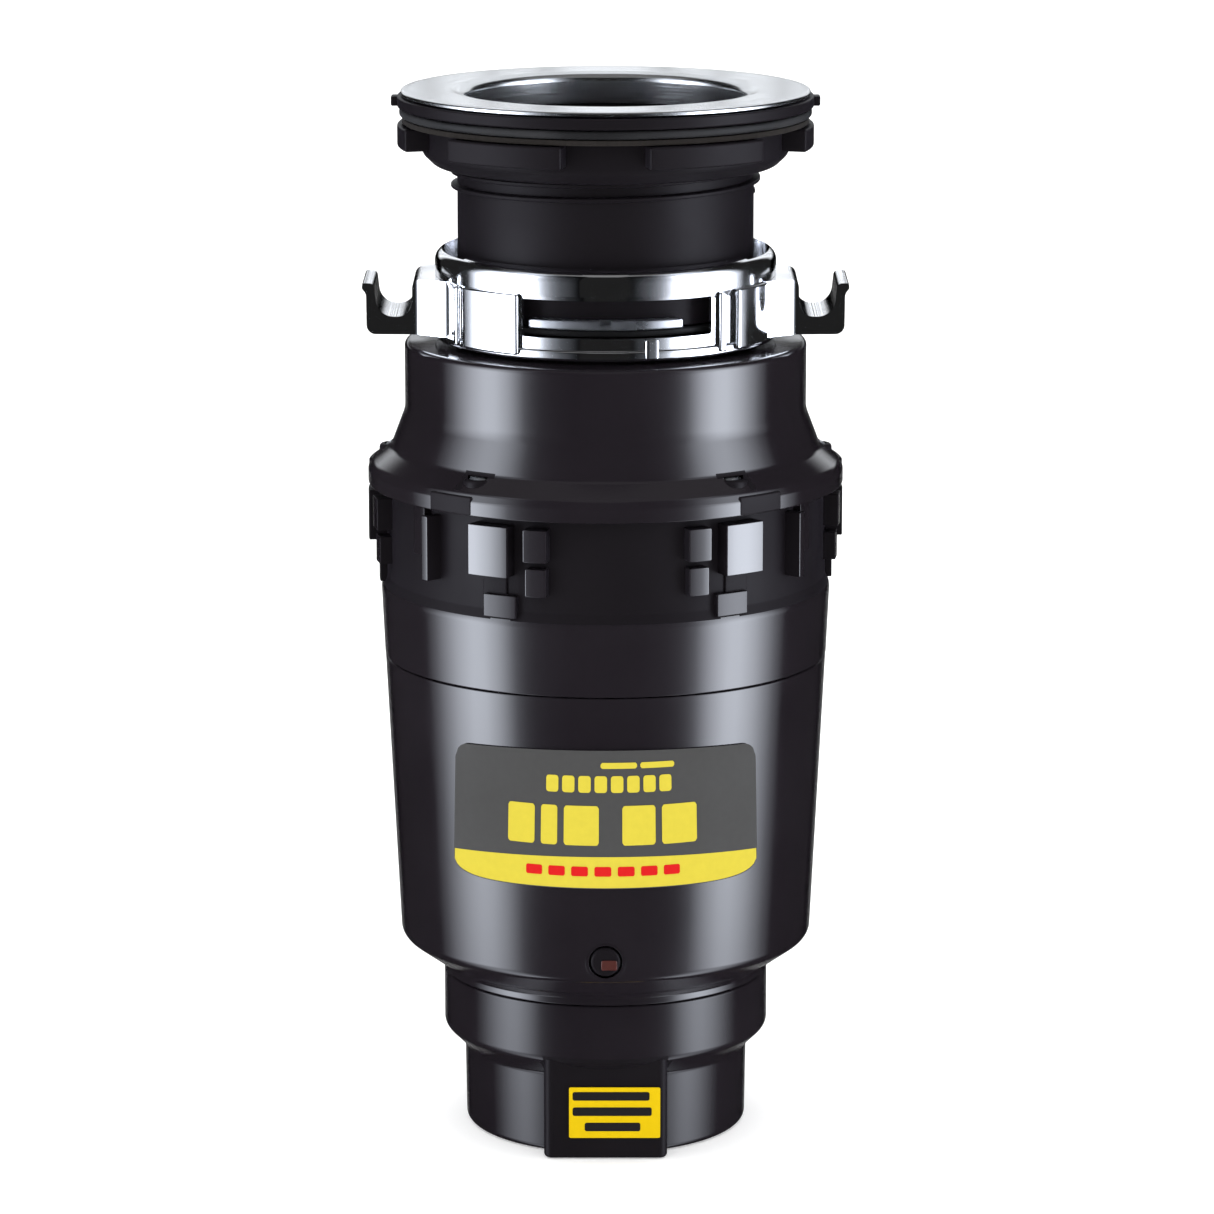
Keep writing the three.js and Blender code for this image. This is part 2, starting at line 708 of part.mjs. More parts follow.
const brushFrom = COMMUTATOR_R + GAP;
const brush = () => box(
  [brushFrom, brushFrom + 12],
  [-BRUSH_HALF.y, BRUSH_HALF.y],
  [BRUSH_Z - BRUSH_HALF.z, BRUSH_Z + BRUSH_HALF.z],
);

function brushHolder() {
  const [wallY, wallZ] = [BRUSH_HALF.y + 1.8, BRUSH_HALF.z + 1.8];
  const sleeve = box([16, 35], [-wallY, wallY], [BRUSH_Z - wallZ, BRUSH_Z + wallZ]);
  const foot = box([18, 33], [-wallY - 3, wallY + 3], [CAN_LOW + 0.1, BRUSH_Z - wallZ + 1]);
  const inside = box(
    [15, 33.4],
    [-BRUSH_HALF.y - 0.35, BRUSH_HALF.y + 0.35],
    [BRUSH_Z - BRUSH_HALF.z - 0.35, BRUSH_Z + BRUSH_HALF.z + 0.35],
  );
  return cut(join(sleeve, foot), inside);
}

const brushSpring = () => coil(2.6, 7.4, 3, 0.5).translate(brushFrom + 12.8, 0, BRUSH_Z);

const lowerEndPlate = () => lathe([
  [8, LOWER_BEARING_LOW - 2.1],
  [20.5, LOWER_BEARING_LOW - 2.1],
  [20.5, 53],
  [45.7, 53],
  [45.7, CAN_LOW - GAP],
  [BEARING.outer + GAP, CAN_LOW - GAP],
  [BEARING.outer + GAP, LOWER_BEARING_LOW - GAP],
  [8, LOWER_BEARING_LOW - GAP],
], 24);

// ---------------------------------------------------------------- outer shells and controls
const shellRadius = (z) =>
  SHELL_EDGE_R + ((z - SHELL_EDGE) * (SHELL_TOP_R - SHELL_EDGE_R)) / (SHELL_TOP - SHELL_EDGE);

function motorShell() {
  const floor = 52.6;
  const body = lathe([
    [38, SHELL_LOW],
    [SHELL_LOW_R, SHELL_LOW],
    [SHELL_EDGE_R, SHELL_EDGE],
    [SHELL_TOP_R, SHELL_TOP],
    [SHELL_TOP_R - SHELL_WALL, SHELL_TOP],
    [shellRadius(58.5) - SHELL_WALL, 58.5],
    [49.5, floor],
    [38, floor],
  ]);
  const buttonHole = rodY(BUTTON_R + 0.5, -62, -50, 0, BUTTON_Z);
  const screwHoles = [-1, 1].map((side) => rod(1.9, SHELL_LOW - 1, floor + 1, side * CAP_SCREW_R, 0, 12));
  return cut(body, buttonHole, ...screwHoles);
}

function bottomCap() {
  const wall = 2.6;
  const body = lathe([
    [0, 0],
    [FOOT_R - 1.4, 0],
    [FOOT_R, 1.4],
    [FOOT_R + 0.4, FOOT_TOP],
    [CAP_R - 2, 25],
    [CAP_R, 29],
    [CAP_R, CAP_TOP],
    [CAP_R - wall, CAP_TOP],
    [CAP_R - wall, 30.5],
    [FOOT_R - wall, 24],
    [FOOT_R - wall, 2.8],
    [0, 2.8],
  ]);
  const boss = box([-BOSS_HALF, BOSS_HALF], [-BOSS_FACE, -FOOT_R + 5], [0, 30]);
  const hollow = lathe([[0, 2.8], [FOOT_R - wall, 2.8], [FOOT_R - wall, 24], [CAP_R - wall, 30.5], [0, 30.5]]);
  const pillars = [-1, 1].map((side) => rod(4.3, 24, CAP_TOP, side * (CAP_SCREW_R - 0.4), 0, 16));
  const heads = [-1, 1].map((side) => rod(3.2, 10, 30, side * CAP_SCREW_R, 0, 16));
  const holes = [-1, 1].map((side) => rod(1.9, 28, CAP_TOP + 1, side * CAP_SCREW_R, 0, 12));
  const glandHole = rodY(8, 34, 50, 0, GLAND_Z);
  const shell = join(cut(join(body, boss), hollow), ...pillars);
  return cut(shell, ...heads, ...holes, glandHole);
}

function cordGland() {
  const profile = [[4.2, -4], [7.6, -4], [7.6, 3.6], [9.4, 3.6], [8.8, 6.6], [4.2, 6.6]];
  return lathe(profile, FINE).rotateX(-Math.PI / 2).translate(0, FOOT_R - 2.8, GLAND_Z);
}

function terminalBlock() {
  const base = box([-15, 15], [-8, 12], [3.2, 12]);
  const walls = [-15, -7, 1, 9].map((x) => box([x, x + 1.6], [-8, 12], [11, 17]));
  return join(base, ...walls, box([-15, 15], [-1, 3], [11, 15]));
}

function overloadProtector() {
  const body = box([-8, 8], [-53.6, -47.2], [BUTTON_Z - 3, BUTTON_Z + 10]);
  const terminals = [-5, 5].map((x) => box([x - 2, x + 2], [-51.4, -50.6], [BUTTON_Z + 9, BUTTON_Z + 16]));
  return cut(join(body, ...terminals), rodY(2.2, -55, -48.2, 0, BUTTON_Z, 16));
}

function resetButton() {
  const cap = rodY(BUTTON_R, -BUTTON_FACE, -BUTTON_FACE + 1.9, 0, BUTTON_Z);
  return join(cap, rodY(1.8, -BUTTON_FACE + 1, -50.5, 0, BUTTON_Z, 16));
}

const resetSpring = () => coil(2.9, 2.3, 3, 0.3)
  .rotateZ(Math.PI / 2)
  .translate(0, -BUTTON_FACE + 2.25, BUTTON_Z);

function mainLabel() {
  const [lift, thick] = [GAP, 0.5];
  const skin = lathe([
    [shellRadius(80) + lift, 80],
    [shellRadius(80) + lift + thick, 80],
    [shellRadius(124) + lift + thick, 124],
    [shellRadius(124) + lift, 124],
  ]);
  const [half, top, side] = [41.6, 120.7, 88.4];
  const face = new THREE.Shape();
  face.moveTo(-half, side);
  face.quadraticCurveTo(0, 78.2, half, side);
  face.lineTo(half, top - 4);
  face.quadraticCurveTo(half, top, half - 4, top);
  face.lineTo(-half + 4, top);
  face.quadraticCurveTo(-half, top, -half, top - 4);
  return common(skin, prism(face, 20, 70).rotateX(Math.PI / 2));
}

const resetLabel = () => box([-10.3, 15.4], [-BOSS_FACE - 0.8, -BOSS_FACE - GAP], [6.4, 21.2]);

// ---------------------------------------------------------------- assembly
const group = new THREE.Group();

function place(name, geometry, look, position = [0, 0, 0], turn = 0) {
  const mesh = new THREE.Mesh(weld(geometry), new THREE.MeshStandardMaterial(look));
  mesh.name = name;
  mesh.position.set(...position);
  mesh.rotation.z = radians(turn);
  group.add(mesh);
}

place('sink_flange', sinkFlange(), STAINLESS);
place('mount_tube', mountTube(), BLACK_PLASTIC);
place('flange_gasket', tube(NUT_BORE_R + 0.2, PLATE_R - 0.6, 290.6, 292.9), RUBBER);
place('fibre_washer', tube(NUT_BORE_R + 0.2, PLATE_R - 1.4, NUT_TOP + GAP, 290.3), FIBRE);
place('support_nut', supportNut(), BLACK_PLASTIC);
place('splash_baffle', splashBaffle(), RUBBER);
place('mount_ring', mountRing(), CHROME);
place('snap_ring', snapRing(), STEEL);

place('hopper', hopper(), BLACK_PLASTIC);
place('hopper_gasket', tube(SHRED_BORE_R + 1, SHRED_R, SHRED_TOP + GAP, RIM_LOW - GAP), RUBBER);
place('grind_housing', grindHousing(), BLACK_PLASTIC);
place('shredder_ring', shredderRing(), STAINLESS);
place('turntable', turntable(), STAINLESS);
for (const [letter, side] of [['a', 1], ['b', -1]]) {
  const turn = side > 0 ? 0 : 180;
  place(`impeller_${letter}`, impeller(), STAINLESS, [side * PIVOT_R, 0, 0], turn);
  place(`rivet_${letter}`, rivet(), STAINLESS, [side * PIVOT_R, 0, 0]);
  place(`magnet_${letter}`, magnet(turn), FERRITE);
  place(`brush_${letter}`, brush(), CARBON, [0, 0, 0], turn);
  place(`brush_holder_${letter}`, brushHolder(), BRASS, [0, 0, 0], turn);
  place(`brush_spring_${letter}`, brushSpring(), STEEL, [0, 0, 0], turn);
  place(`drain_screw_${letter}`, screw(4, 2.4, 1.6, 11).rotateX(-Math.PI / 2), STEEL,
    [side * DRAIN_SCREW_X, DRAIN_FACE + 5.9, DRAIN_Z]);
  place(`cap_screw_${letter}`, screw(2.9, 2, 1.5, 20).rotateX(Math.PI), STEEL,
    [side * CAP_SCREW_R, 0, 30 - GAP]);
}
place('turntable_nut', turntableNut(), STAINLESS);
place('shaft_seal', shaftSeal(), RUBBER);
place('drain_gasket', drainGasket(), RUBBER);
place('drain_flange', drainFlange(), STEEL);
for (const i of range(SCREWS)) {
  place(`hopper_screw_${i + 1}`, screw(3.6, 2.2, 1.8, 22), STEEL, [...screwPlace(i), 194.9]);
}

place('shaft', shaft(), STEEL);
for (const [where, low] of [['upper', UPPER_BEARING_LOW], ['lower', LOWER_BEARING_LOW]]) {
  place(`${where}_bearing_outer`, outerRace(low), BEARING_STEEL);
  place(`${where}_bearing_inner`, innerRace(low), BEARING_STEEL);
  place(`${where}_bearing_cage`, ballCage(low), BEARING_STEEL);
}
place('motor_can', tube(CAN_R - CAN_WALL, CAN_R, CAN_LOW, CAN_TOP, 24), STEEL);
place('armature_core', armatureCore(), STEEL);
place('windings', windings(), COPPER);
place('commutator', commutator(), COPPER);
place('lower_end_plate', lowerEndPlate(), ALUMINIUM);

place('motor_shell', motorShell(), BLACK_PLASTIC);
place('bottom_cap', bottomCap(), BLACK_PLASTIC);
place('cord_gland', cordGland(), RUBBER);
place('terminal_block', terminalBlock(), DARK_PLASTIC);
place('overload_protector', overloadProtector(), DARK_PLASTIC);
place('reset_button', resetButton(), RED_PLASTIC);
place('reset_spring', resetSpring(), STEEL);
place('main_label', mainLabel(), LABEL_GREY);
place('reset_label', resetLabel(), LABEL_YELLOW);

export default group;
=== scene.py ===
"""Looks of the kitchen garbage disposer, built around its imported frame. Helpers work in millimetres."""

import json
import math

import bmesh
import bpy
from mathutils import Matrix, Vector


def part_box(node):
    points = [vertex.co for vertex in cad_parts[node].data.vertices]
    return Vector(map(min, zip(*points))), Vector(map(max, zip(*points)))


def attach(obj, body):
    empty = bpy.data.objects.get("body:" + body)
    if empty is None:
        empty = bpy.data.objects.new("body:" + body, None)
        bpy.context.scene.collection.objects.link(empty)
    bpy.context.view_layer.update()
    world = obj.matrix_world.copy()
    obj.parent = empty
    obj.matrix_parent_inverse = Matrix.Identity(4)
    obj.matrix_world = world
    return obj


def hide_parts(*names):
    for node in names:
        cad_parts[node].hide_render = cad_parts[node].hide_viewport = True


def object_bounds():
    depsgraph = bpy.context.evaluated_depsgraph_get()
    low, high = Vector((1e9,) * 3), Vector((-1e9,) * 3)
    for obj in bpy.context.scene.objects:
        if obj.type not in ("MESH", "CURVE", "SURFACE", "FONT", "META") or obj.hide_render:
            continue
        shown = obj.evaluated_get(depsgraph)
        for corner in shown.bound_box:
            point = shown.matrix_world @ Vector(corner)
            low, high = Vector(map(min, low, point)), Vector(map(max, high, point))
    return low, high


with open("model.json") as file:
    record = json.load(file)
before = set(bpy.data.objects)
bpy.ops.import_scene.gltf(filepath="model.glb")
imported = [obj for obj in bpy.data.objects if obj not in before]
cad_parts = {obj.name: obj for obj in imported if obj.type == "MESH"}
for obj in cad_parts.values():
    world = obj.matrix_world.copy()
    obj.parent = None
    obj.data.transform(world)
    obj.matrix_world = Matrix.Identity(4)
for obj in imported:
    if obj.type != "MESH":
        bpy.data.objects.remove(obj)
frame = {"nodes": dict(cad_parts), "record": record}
cad_low, cad_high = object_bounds()

MM = 0.001
SIDES = 192  # sides of a large round piece
SMALL_SIDES = 48  # sides of a small round piece
SHARP = math.radians(32)  # edges above this angle stay crisp


# ---------------------------------------------------------------- camera, light and floor
CAMERA_SIDE = 0.0004
CAMERA_BACK = 1.495
CAMERA_HEIGHT = 0.4705
CAMERA_PITCH = 12.1
CAMERA_LENS = 159.3
WALL_DISTANCE = 1.15
WALL_LOW = -2.6
WALL_HIGH = 2.0
ROOM_DISTANCE = 1.3
ROOM_TOP = 3.2
ROOM_GLOW = 0.22
ROOM_DIM = 0.016


def add_camera():
    data = bpy.data.cameras.new("camera")
    data.lens = CAMERA_LENS
    data.sensor_width = 36
    data.clip_start = 0.05
    data.clip_end = 60
    camera = bpy.data.objects.new("camera", data)
    camera.location = (CAMERA_SIDE, -CAMERA_BACK, CAMERA_HEIGHT)
    camera.rotation_euler = (math.radians(90 - CAMERA_PITCH), 0, 0)
    bpy.context.scene.collection.objects.link(camera)
    bpy.context.scene.camera = camera


def blend_stops(stops, place):
    """The value at a place, read along straight lines between (place, value) stops."""
    if place <= stops[0][0]:
        return stops[0][1]
    for (before, low), (after, high) in zip(stops, stops[1:]):
        if place <= after:
            return low + (high - low) * (place - before) / (after - before)
    return stops[-1][1]


def add_glow_wall(name, across, upward, strength, tint=(1, 1, 1), distance=WALL_DISTANCE, top=WALL_HIGH):
    """A large curved diffuser round the axis that only reflections see.

    across gives its brightness by azimuth, in degrees with 0 in front, and upward by height in metres.
    """
    columns = 48
    rows = 46
    start, end = across[0][0], across[-1][0]
    bm = bmesh.new()
    glow = bm.verts.layers.float.new("glow")
    grid = []
    for i in range(columns + 1):
        azimuth = start + (end - start) * i / columns
        turn = math.radians(azimuth)
        column = []
        for k in range(rows + 1):
            height = WALL_LOW + (top - WALL_LOW) * k / rows
            vert = bm.verts.new((distance * math.sin(turn), -distance * math.cos(turn), height))
            vert[glow] = strength * blend_stops(across, azimuth) * blend_stops(upward, height)
            column.append(vert)
        grid.append(column)
    for first, second in zip(grid, grid[1:]):
        for k in range(rows):
            bm.faces.new([first[k], second[k], second[k + 1], first[k + 1]])
    stage_glow(name, bm, tint)


def stage_glow(name, bm, tint=(1, 1, 1)):
    """Stages a mesh that glows by its "glow" values and is seen in reflections only."""
    mesh = bpy.data.meshes.new(name)
    bm.to_mesh(mesh)
    bm.free()
    lit = bpy.data.materials.new(name)
    lit.use_nodes = True
    tree = lit.node_tree
    tree.nodes.clear()
    reading = tree.nodes.new("ShaderNodeAttribute")
    reading.attribute_name = "glow"
    emission = tree.nodes.new("ShaderNodeEmission")
    emission.inputs["Color"].default_value = (*tint, 1)
    output = tree.nodes.new("ShaderNodeOutputMaterial")
    tree.links.new(reading.outputs["Fac"], emission.inputs["Strength"])
    tree.links.new(emission.outputs[0], output.inputs["Surface"])
    lit.cycles.emission_sampling = "NONE"
    mesh.materials.append(lit)
    wall = bpy.data.objects.new(name, mesh)
    for ray in ("camera", "diffuse", "transmission", "volume_scatter", "shadow"):
        setattr(wall, "visible_" + ray, False)
    bpy.context.scene.collection.objects.link(wall)


def add_room():
    """The dim studio beyond the softboxes, paler high up, with its ceiling."""
    upward = [(WALL_LOW, ROOM_DIM), (1.85, ROOM_DIM), (2.1, ROOM_GLOW), (ROOM_TOP, ROOM_GLOW)]
    add_glow_wall("room", [(-180, 1), (180, 1)], upward, 1, distance=ROOM_DISTANCE, top=ROOM_TOP)
    bm = bmesh.new()
    glow = bm.verts.layers.float.new("glow")
    bmesh.ops.create_circle(bm, cap_ends=True, segments=48, radius=ROOM_DISTANCE)
    for vert in bm.verts:
        vert.co.z = ROOM_TOP
        vert[glow] = ROOM_GLOW
    stage_glow("ceiling", bm)


def add_lights():
    cool = (0.85, 0.9, 1.0)
    side = [(17, 0), (30, 0.01), (36, 0.025), (41, 0.06), (46, 0.15), (50, 0.36), (56, 0.7), (64, 1), (71, 1),
            (80, 0.7), (88, 0.37), (96, 0.12), (104, 0)]
    upward = [(-0.6, 0.3), (-0.4, 0.45), (-0.34, 0.62), (-0.26, 0.9), (-0.18, 1), (0.05, 1),
              (1.0, 0.42), (1.3, 0.1)]
    add_glow_wall("right_softbox", side, upward, 13.0, cool)
    add_glow_wall("left_softbox", [(-a, v) for a, v in reversed(side)], upward, 12.0, cool)
    add_glow_wall("backdrop_glow", [(156, 0), (160, 1), (200, 1), (204, 0)], [(0.04, 1), (0.12, 0)], 1.0)
    back = [(146, 0), (154, 1), (206, 1), (214, 0)]
    add_glow_wall("back_softbox", back, [(0.3, 0), (0.36, 1), (1.4, 1), (1.6, 0)], 1.3, (0.93, 0.96, 1.0))
    add_room()
    top = bpy.data.lights.new("top_softbox", "AREA")
    top.shape = "DISK"
    top.size = 1.6
    top.energy = 9
    lamp = bpy.data.objects.new("top_softbox", top)
    lamp.location = (0, 0, 2.4)
    lamp.visible_camera = False
    lamp.visible_glossy = False
    bpy.context.scene.collection.objects.link(lamp)
    world = bpy.data.worlds.new("studio")
    world.use_nodes = True
    world.node_tree.nodes["Background"].inputs["Color"].default_value = (1, 1, 1, 1)
    world.node_tree.nodes["Background"].inputs["Strength"].default_value = 1.3
    world.cycles_visibility.glossy = False
    bpy.context.scene.world = world
    bpy.context.scene.view_settings.view_transform = "Standard"


def add_floor():
    mesh = bpy.data.meshes.new("floor")
    reach = 9
    corners = [(-reach, -reach, 0), (reach, -reach, 0), (reach, reach, 0), (-reach, reach, 0)]
    mesh.from_pydata(corners, [], [(0, 1, 2, 3)])
    floor = bpy.data.objects.new("floor", mesh)
    floor.location.z = cad_low.z - 0.0002
    floor.visible_glossy = False
    bpy.context.scene.collection.objects.link(floor)
    paint = bpy.data.materials.new("floor_paint")
    paint.use_nodes = True
    shader = paint.node_tree.nodes["Principled BSDF"]
    shader.inputs["Base Color"].default_value = (0.95, 0.95, 0.95, 1)
    shader.inputs["Roughness"].default_value = 0.9
    shader.inputs["Emission Color"].default_value = (1, 1, 1, 1)
    shader.inputs["Emission Strength"].default_value = 0.3
    mesh.materials.append(paint)


# ---------------------------------------------------------------- mesh helpers
def rounded(points, steps=5):
    """A closed outline. A point is (a, b), or (a, b, radius) where its corner is rounded."""
    result = []
    for i, point in enumerate(points):
        here = Vector(point[:2])
        radius = point[2] if len(point) > 2 else 0
        before = Vector(points[i - 1][:2])
        after = Vector(points[(i + 1) % len(points)][:2])
        back = (before - here).normalized()
        ahead = (after - here).normalized()
        half = back.angle(ahead) / 2
        if radius <= 0 or half > math.radians(89):
            result.append(here)
            continue
        reach = min(radius / math.tan(half), (before - here).length * 0.49, (after - here).length * 0.49)
        radius = reach * math.tan(half)
        centre = here + (back + ahead).normalized() * (radius / math.sin(half))
        start = here + back * reach - centre
        end = here + ahead * reach - centre
        sweep = start.angle_signed(end)
        for k in range(steps + 1):
            turned = start.copy()
            turned.rotate(Matrix.Rotation(-sweep * k / steps, 2))
            result.append(centre + turned)
    return [(p.x, p.y) for p in result]


def new_object(name, bm):
    bmesh.ops.remove_doubles(bm, verts=bm.verts, dist=1e-7)
    bmesh.ops.recalc_face_normals(bm, faces=bm.faces)
    mesh = bpy.data.meshes.new(name)
    bm.to_mesh(mesh)
    bm.free()
    made = bpy.data.objects.new(name, mesh)
    bpy.context.scene.collection.objects.link(made)
    return made


def revolve(name, outline, sides=SIDES):
    """A solid of revolution about Z from a closed outline of (radius, height) points."""
    bm = bmesh.new()
    rings = []
    for radius, height in outline:
        if radius < 1e-6:
            rings.append([bm.verts.new((0, 0, height * MM))] * sides)
            continue
        ring = []
        for k in range(sides):
            angle = 2 * math.pi * k / sides
            x, y = radius * MM * math.sin(angle), -radius * MM * math.cos(angle)
            ring.append(bm.verts.new((x, y, height * MM)))
        rings.append(ring)
    for i, ring in enumerate(rings):
        following = rings[(i + 1) % len(rings)]
        for k in range(sides):
            corners = [ring[k], ring[(k + 1) % sides], following[(k + 1) % sides], following[k]]
            unique = list(dict.fromkeys(corners))
            if len(unique) > 2:
                bm.faces.new(unique)
    return new_object(name, bm)


def tube(name, inner, outer, low, high, edge=0.4, sides=SIDES):
    outline = [(inner, low, edge), (outer, low, edge), (outer, high, edge), (inner, high, edge)]
    return revolve(name, rounded(outline), sides)


def prism(name, outline, low, high, edge=0.0, segments=3):
    """An outline of (x, y) points raised along Z, with its edges rounded."""
    bm = bmesh.new()
    bottom = [bm.verts.new((x * MM, y * MM, low * MM)) for x, y in outline]
    top = [bm.verts.new((x * MM, y * MM, high * MM)) for x, y in outline]
    count = len(outline)
    bm.faces.new(list(reversed(bottom)))
    bm.faces.new(top)
    for k in range(count):
        bm.faces.new([bottom[k], bottom[(k + 1) % count], top[(k + 1) % count], top[k]])
    bmesh.ops.recalc_face_normals(bm, faces=bm.faces)
    if edge > 0:
        sharp = [e for e in bm.edges if len(e.link_faces) == 2 and e.calc_face_angle() > SHARP]
        bmesh.ops.bevel(bm, geom=sharp, offset=edge * MM, segments=segments, profile=0.5,
                        affect="EDGES", clamp_overlap=True)
    return new_object(name, bm)


def block(name, low, high, edge=0.3):
    outline = [(low[0], low[1]), (high[0], low[1]), (high[0], high[1]), (low[0], high[1])]
    return prism(name, outline, low[2], high[2], edge)


def on_circle(radius, azimuth):
    turn = math.radians(azimuth)
    return radius * math.sin(turn), -radius * math.cos(turn)


def sector(name, inner, outer, start, end, low, high, edge=0.3):
    """A block between two radii and two azimuths."""
    steps = max(2, math.ceil((end - start) / 2))
    azimuths = [start + (end - start) * k / steps for k in range(steps + 1)]
    outline = [on_circle(outer, a) for a in azimuths] + [on_circle(inner, a) for a in reversed(azimuths)]
    return prism(name, outline, low, high, edge)


def disc(radius, sides=SMALL_SIDES):
    return [(radius * math.cos(2 * math.pi * k / sides), radius * math.sin(2 * math.pi * k / sides))
            for k in range(sides)]


def rod(name, radius, low, high, place=(0, 0), edge=0.3, sides=SMALL_SIDES):
    outline = [(x + place[0], y + place[1]) for x, y in disc(radius, sides)]
    return prism(name, outline, low, high, edge)


def turned(piece, matrix):
    piece.data.transform(matrix)
    return piece


def moved(piece, x=0, y=0, z=0):
    return turned(piece, Matrix.Translation((x * MM, y * MM, z * MM)))


def spun(piece, degrees, axis="Z"):
    return turned(piece, Matrix.Rotation(math.radians(degrees), 4, axis))


def along_y(piece, x, y, z):
    """Lays a piece made about +Z along +Y, with its origin at the given point."""
    return moved(spun(piece, -90, "X"), x, y, z)


def copied(piece, degrees=0, axis="Z"):
    twin = piece.copy()
    twin.data = piece.data.copy()
    bpy.context.scene.collection.objects.link(twin)
    return spun(twin, degrees, axis)


def ringed(piece, count):
    """The piece and its copies, evenly spaced about Z."""
    return [piece] + [copied(piece, 360 * k / count) for k in range(1, count)]


def combine(target, tools, operation):
    for tool in tools:
        modifier = target.modifiers.new("boolean", "BOOLEAN")
        modifier.operation = operation
        modifier.object = tool
        modifier.solver = "MANIFOLD"
    bpy.context.view_layer.update()
    graph = bpy.context.evaluated_depsgraph_get()
    result = bpy.data.meshes.new_from_object(target.evaluated_get(graph))
    target.modifiers.clear()
    target.data = result
    for tool in tools:
        bpy.data.objects.remove(tool)
    return target


def join(target, tools):
    return combine(target, tools, "UNION")


def cut(target, tools):
    return combine(target, tools, "DIFFERENCE")


def soften_edges(piece, width, segments=2, angle=50):
    modifier = piece.modifiers.new("soft_edges", "BEVEL")
    modifier.width = width * MM
    modifier.segments = segments
    modifier.limit_method = "ANGLE"
    modifier.angle_limit = math.radians(angle)
    modifier.use_clamp_overlap = True
    return piece


def finish_piece(piece, name, material, body, replaced=()):
    piece.name = name
    piece.data.name = name
    piece.data.materials.clear()
    piece.data.materials.append(material)
    piece.data.polygons.foreach_set("material_index", [0] * len(piece.data.polygons))
    piece.data.shade_smooth()
    piece.data.set_sharp_from_angle(angle=SHARP)
    weighted = piece.modifiers.new("even_shading", "WEIGHTED_NORMAL")
    weighted.keep_sharp = True
    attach(piece, body)
    if replaced:
        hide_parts(*replaced)
    return piece


# ---------------------------------------------------------------- materials
class Nodes:
    """Short names for building one material's nodes."""

    def __init__(self, name, color, roughness, metallic=0.0):
        self.material = bpy.data.materials.new(name)
        self.material.use_nodes = True
        self.tree = self.material.node_tree
        self.shader = self.tree.nodes["Principled BSDF"]
        self.shader.inputs["Base Color"].default_value = (*color, 1)
        self.shader.inputs["Roughness"].default_value = roughness
        self.shader.inputs["Metallic"].default_value = metallic
        self.place = self.tree.nodes.new("ShaderNodeTexCoord").outputs["Object"]
        self.height = None

    def link(self, out, into):
        self.tree.links.new(out, into)

    def math(self, operation, first, second=None, clamp=False):
        node = self.tree.nodes.new("ShaderNodeMath")
        node.operation = operation
        node.use_clamp = clamp
        for socket, value in zip(node.inputs, (first, second)):
            if isinstance(value, (int, float)):
                socket.default_value = value
            elif value is not None:
                self.link(value, socket)
        return node.outputs[0]

    def noise(self, per_metre, detail=3.0, place=None, stretch=None):
        node = self.tree.nodes.new("ShaderNodeTexNoise")
        node.inputs["Scale"].default_value = per_metre
        node.inputs["Detail"].default_value = detail
        source = place or self.place
        if stretch:
            scaled = self.tree.nodes.new("ShaderNodeMapping")
            scaled.inputs["Scale"].default_value = stretch
            self.link(source, scaled.inputs["Vector"])
            source = scaled.outputs["Vector"]
        self.link(source, node.inputs["Vector"])
        return node.outputs["Fac"]

    def ringed_place(self, across, along):
        """Coordinates that change quickly across the turning marks of a round piece and slowly along them."""
        split = self.tree.nodes.new("ShaderNodeSeparateXYZ")
        self.link(self.place, split.inputs[0])
        x, y, z = split.outputs
        radius = self.math("SQRT", self.math("ADD", self.math("MULTIPLY", x, x), self.math("MULTIPLY", y, y)))
        angle = self.math("ARCTAN2", x, y)
        packed = self.tree.nodes.new("ShaderNodeCombineXYZ")
        self.link(self.math("MULTIPLY", radius, across), packed.inputs[0])
        self.link(self.math("MULTIPLY", angle, along), packed.inputs[1])
        self.link(self.math("MULTIPLY", z, across), packed.inputs[2])
        return packed.outputs[0]

    def ramp(self, value, low, high, dark, light):
        node = self.tree.nodes.new("ShaderNodeMapRange")
        node.inputs["From Min"].default_value = low
        node.inputs["From Max"].default_value = high
        node.inputs["To Min"].default_value = dark
        node.inputs["To Max"].default_value = light
        self.link(value, node.inputs["Value"])
        return node.outputs["Result"]

    def tint(self, value, first, second):
        node = self.tree.nodes.new("ShaderNodeMix")
        node.data_type = "RGBA"
        node.inputs[6].default_value = (*first, 1)
        node.inputs[7].default_value = (*second, 1)
        self.link(value, node.inputs[0])
        self.link(node.outputs[2], self.shader.inputs["Base Color"])

    def roughness(self, value):
        self.link(value, self.shader.inputs["Roughness"])

    def bump(self, value, millimetres, strength=1.0):
        node = self.tree.nodes.new("ShaderNodeBump")
        node.inputs["Distance"].default_value = millimetres * MM
        node.inputs["Strength"].default_value = strength
        self.link(value, node.inputs["Height"])
        if self.height is not None:
            self.link(self.height, node.inputs["Normal"])
        self.height = node.outputs["Normal"]
        self.link(self.height, self.shader.inputs["Normal"])


def gloss_plastic(name, color, smooth, hazy, specular=0.5):
    """Polished mould plastic: a faint flow ripple, handling haze and fine scuffs."""
    n = Nodes(name, color, smooth)
    n.shader.inputs["Specular IOR Level"].default_value = specular
    haze = n.noise(22, 4)
    scuffs = n.noise(60, 5, stretch=(9, 9, 1))
    mixed = n.math("ADD", n.math("MULTIPLY", haze, 0.7), n.math("MULTIPLY", scuffs, 0.3))
    n.roughness(n.ramp(mixed, 0.35, 0.7, smooth, hazy))
    n.tint(n.ramp(haze, 0.3, 0.75, 0, 1), color, tuple(min(1, c * 1.25 + 0.001) for c in color))
    n.bump(n.noise(90, 2), 0.02, 0.5)
    n.bump(n.noise(1400, 2), 0.0015, 0.35)
    return n.material


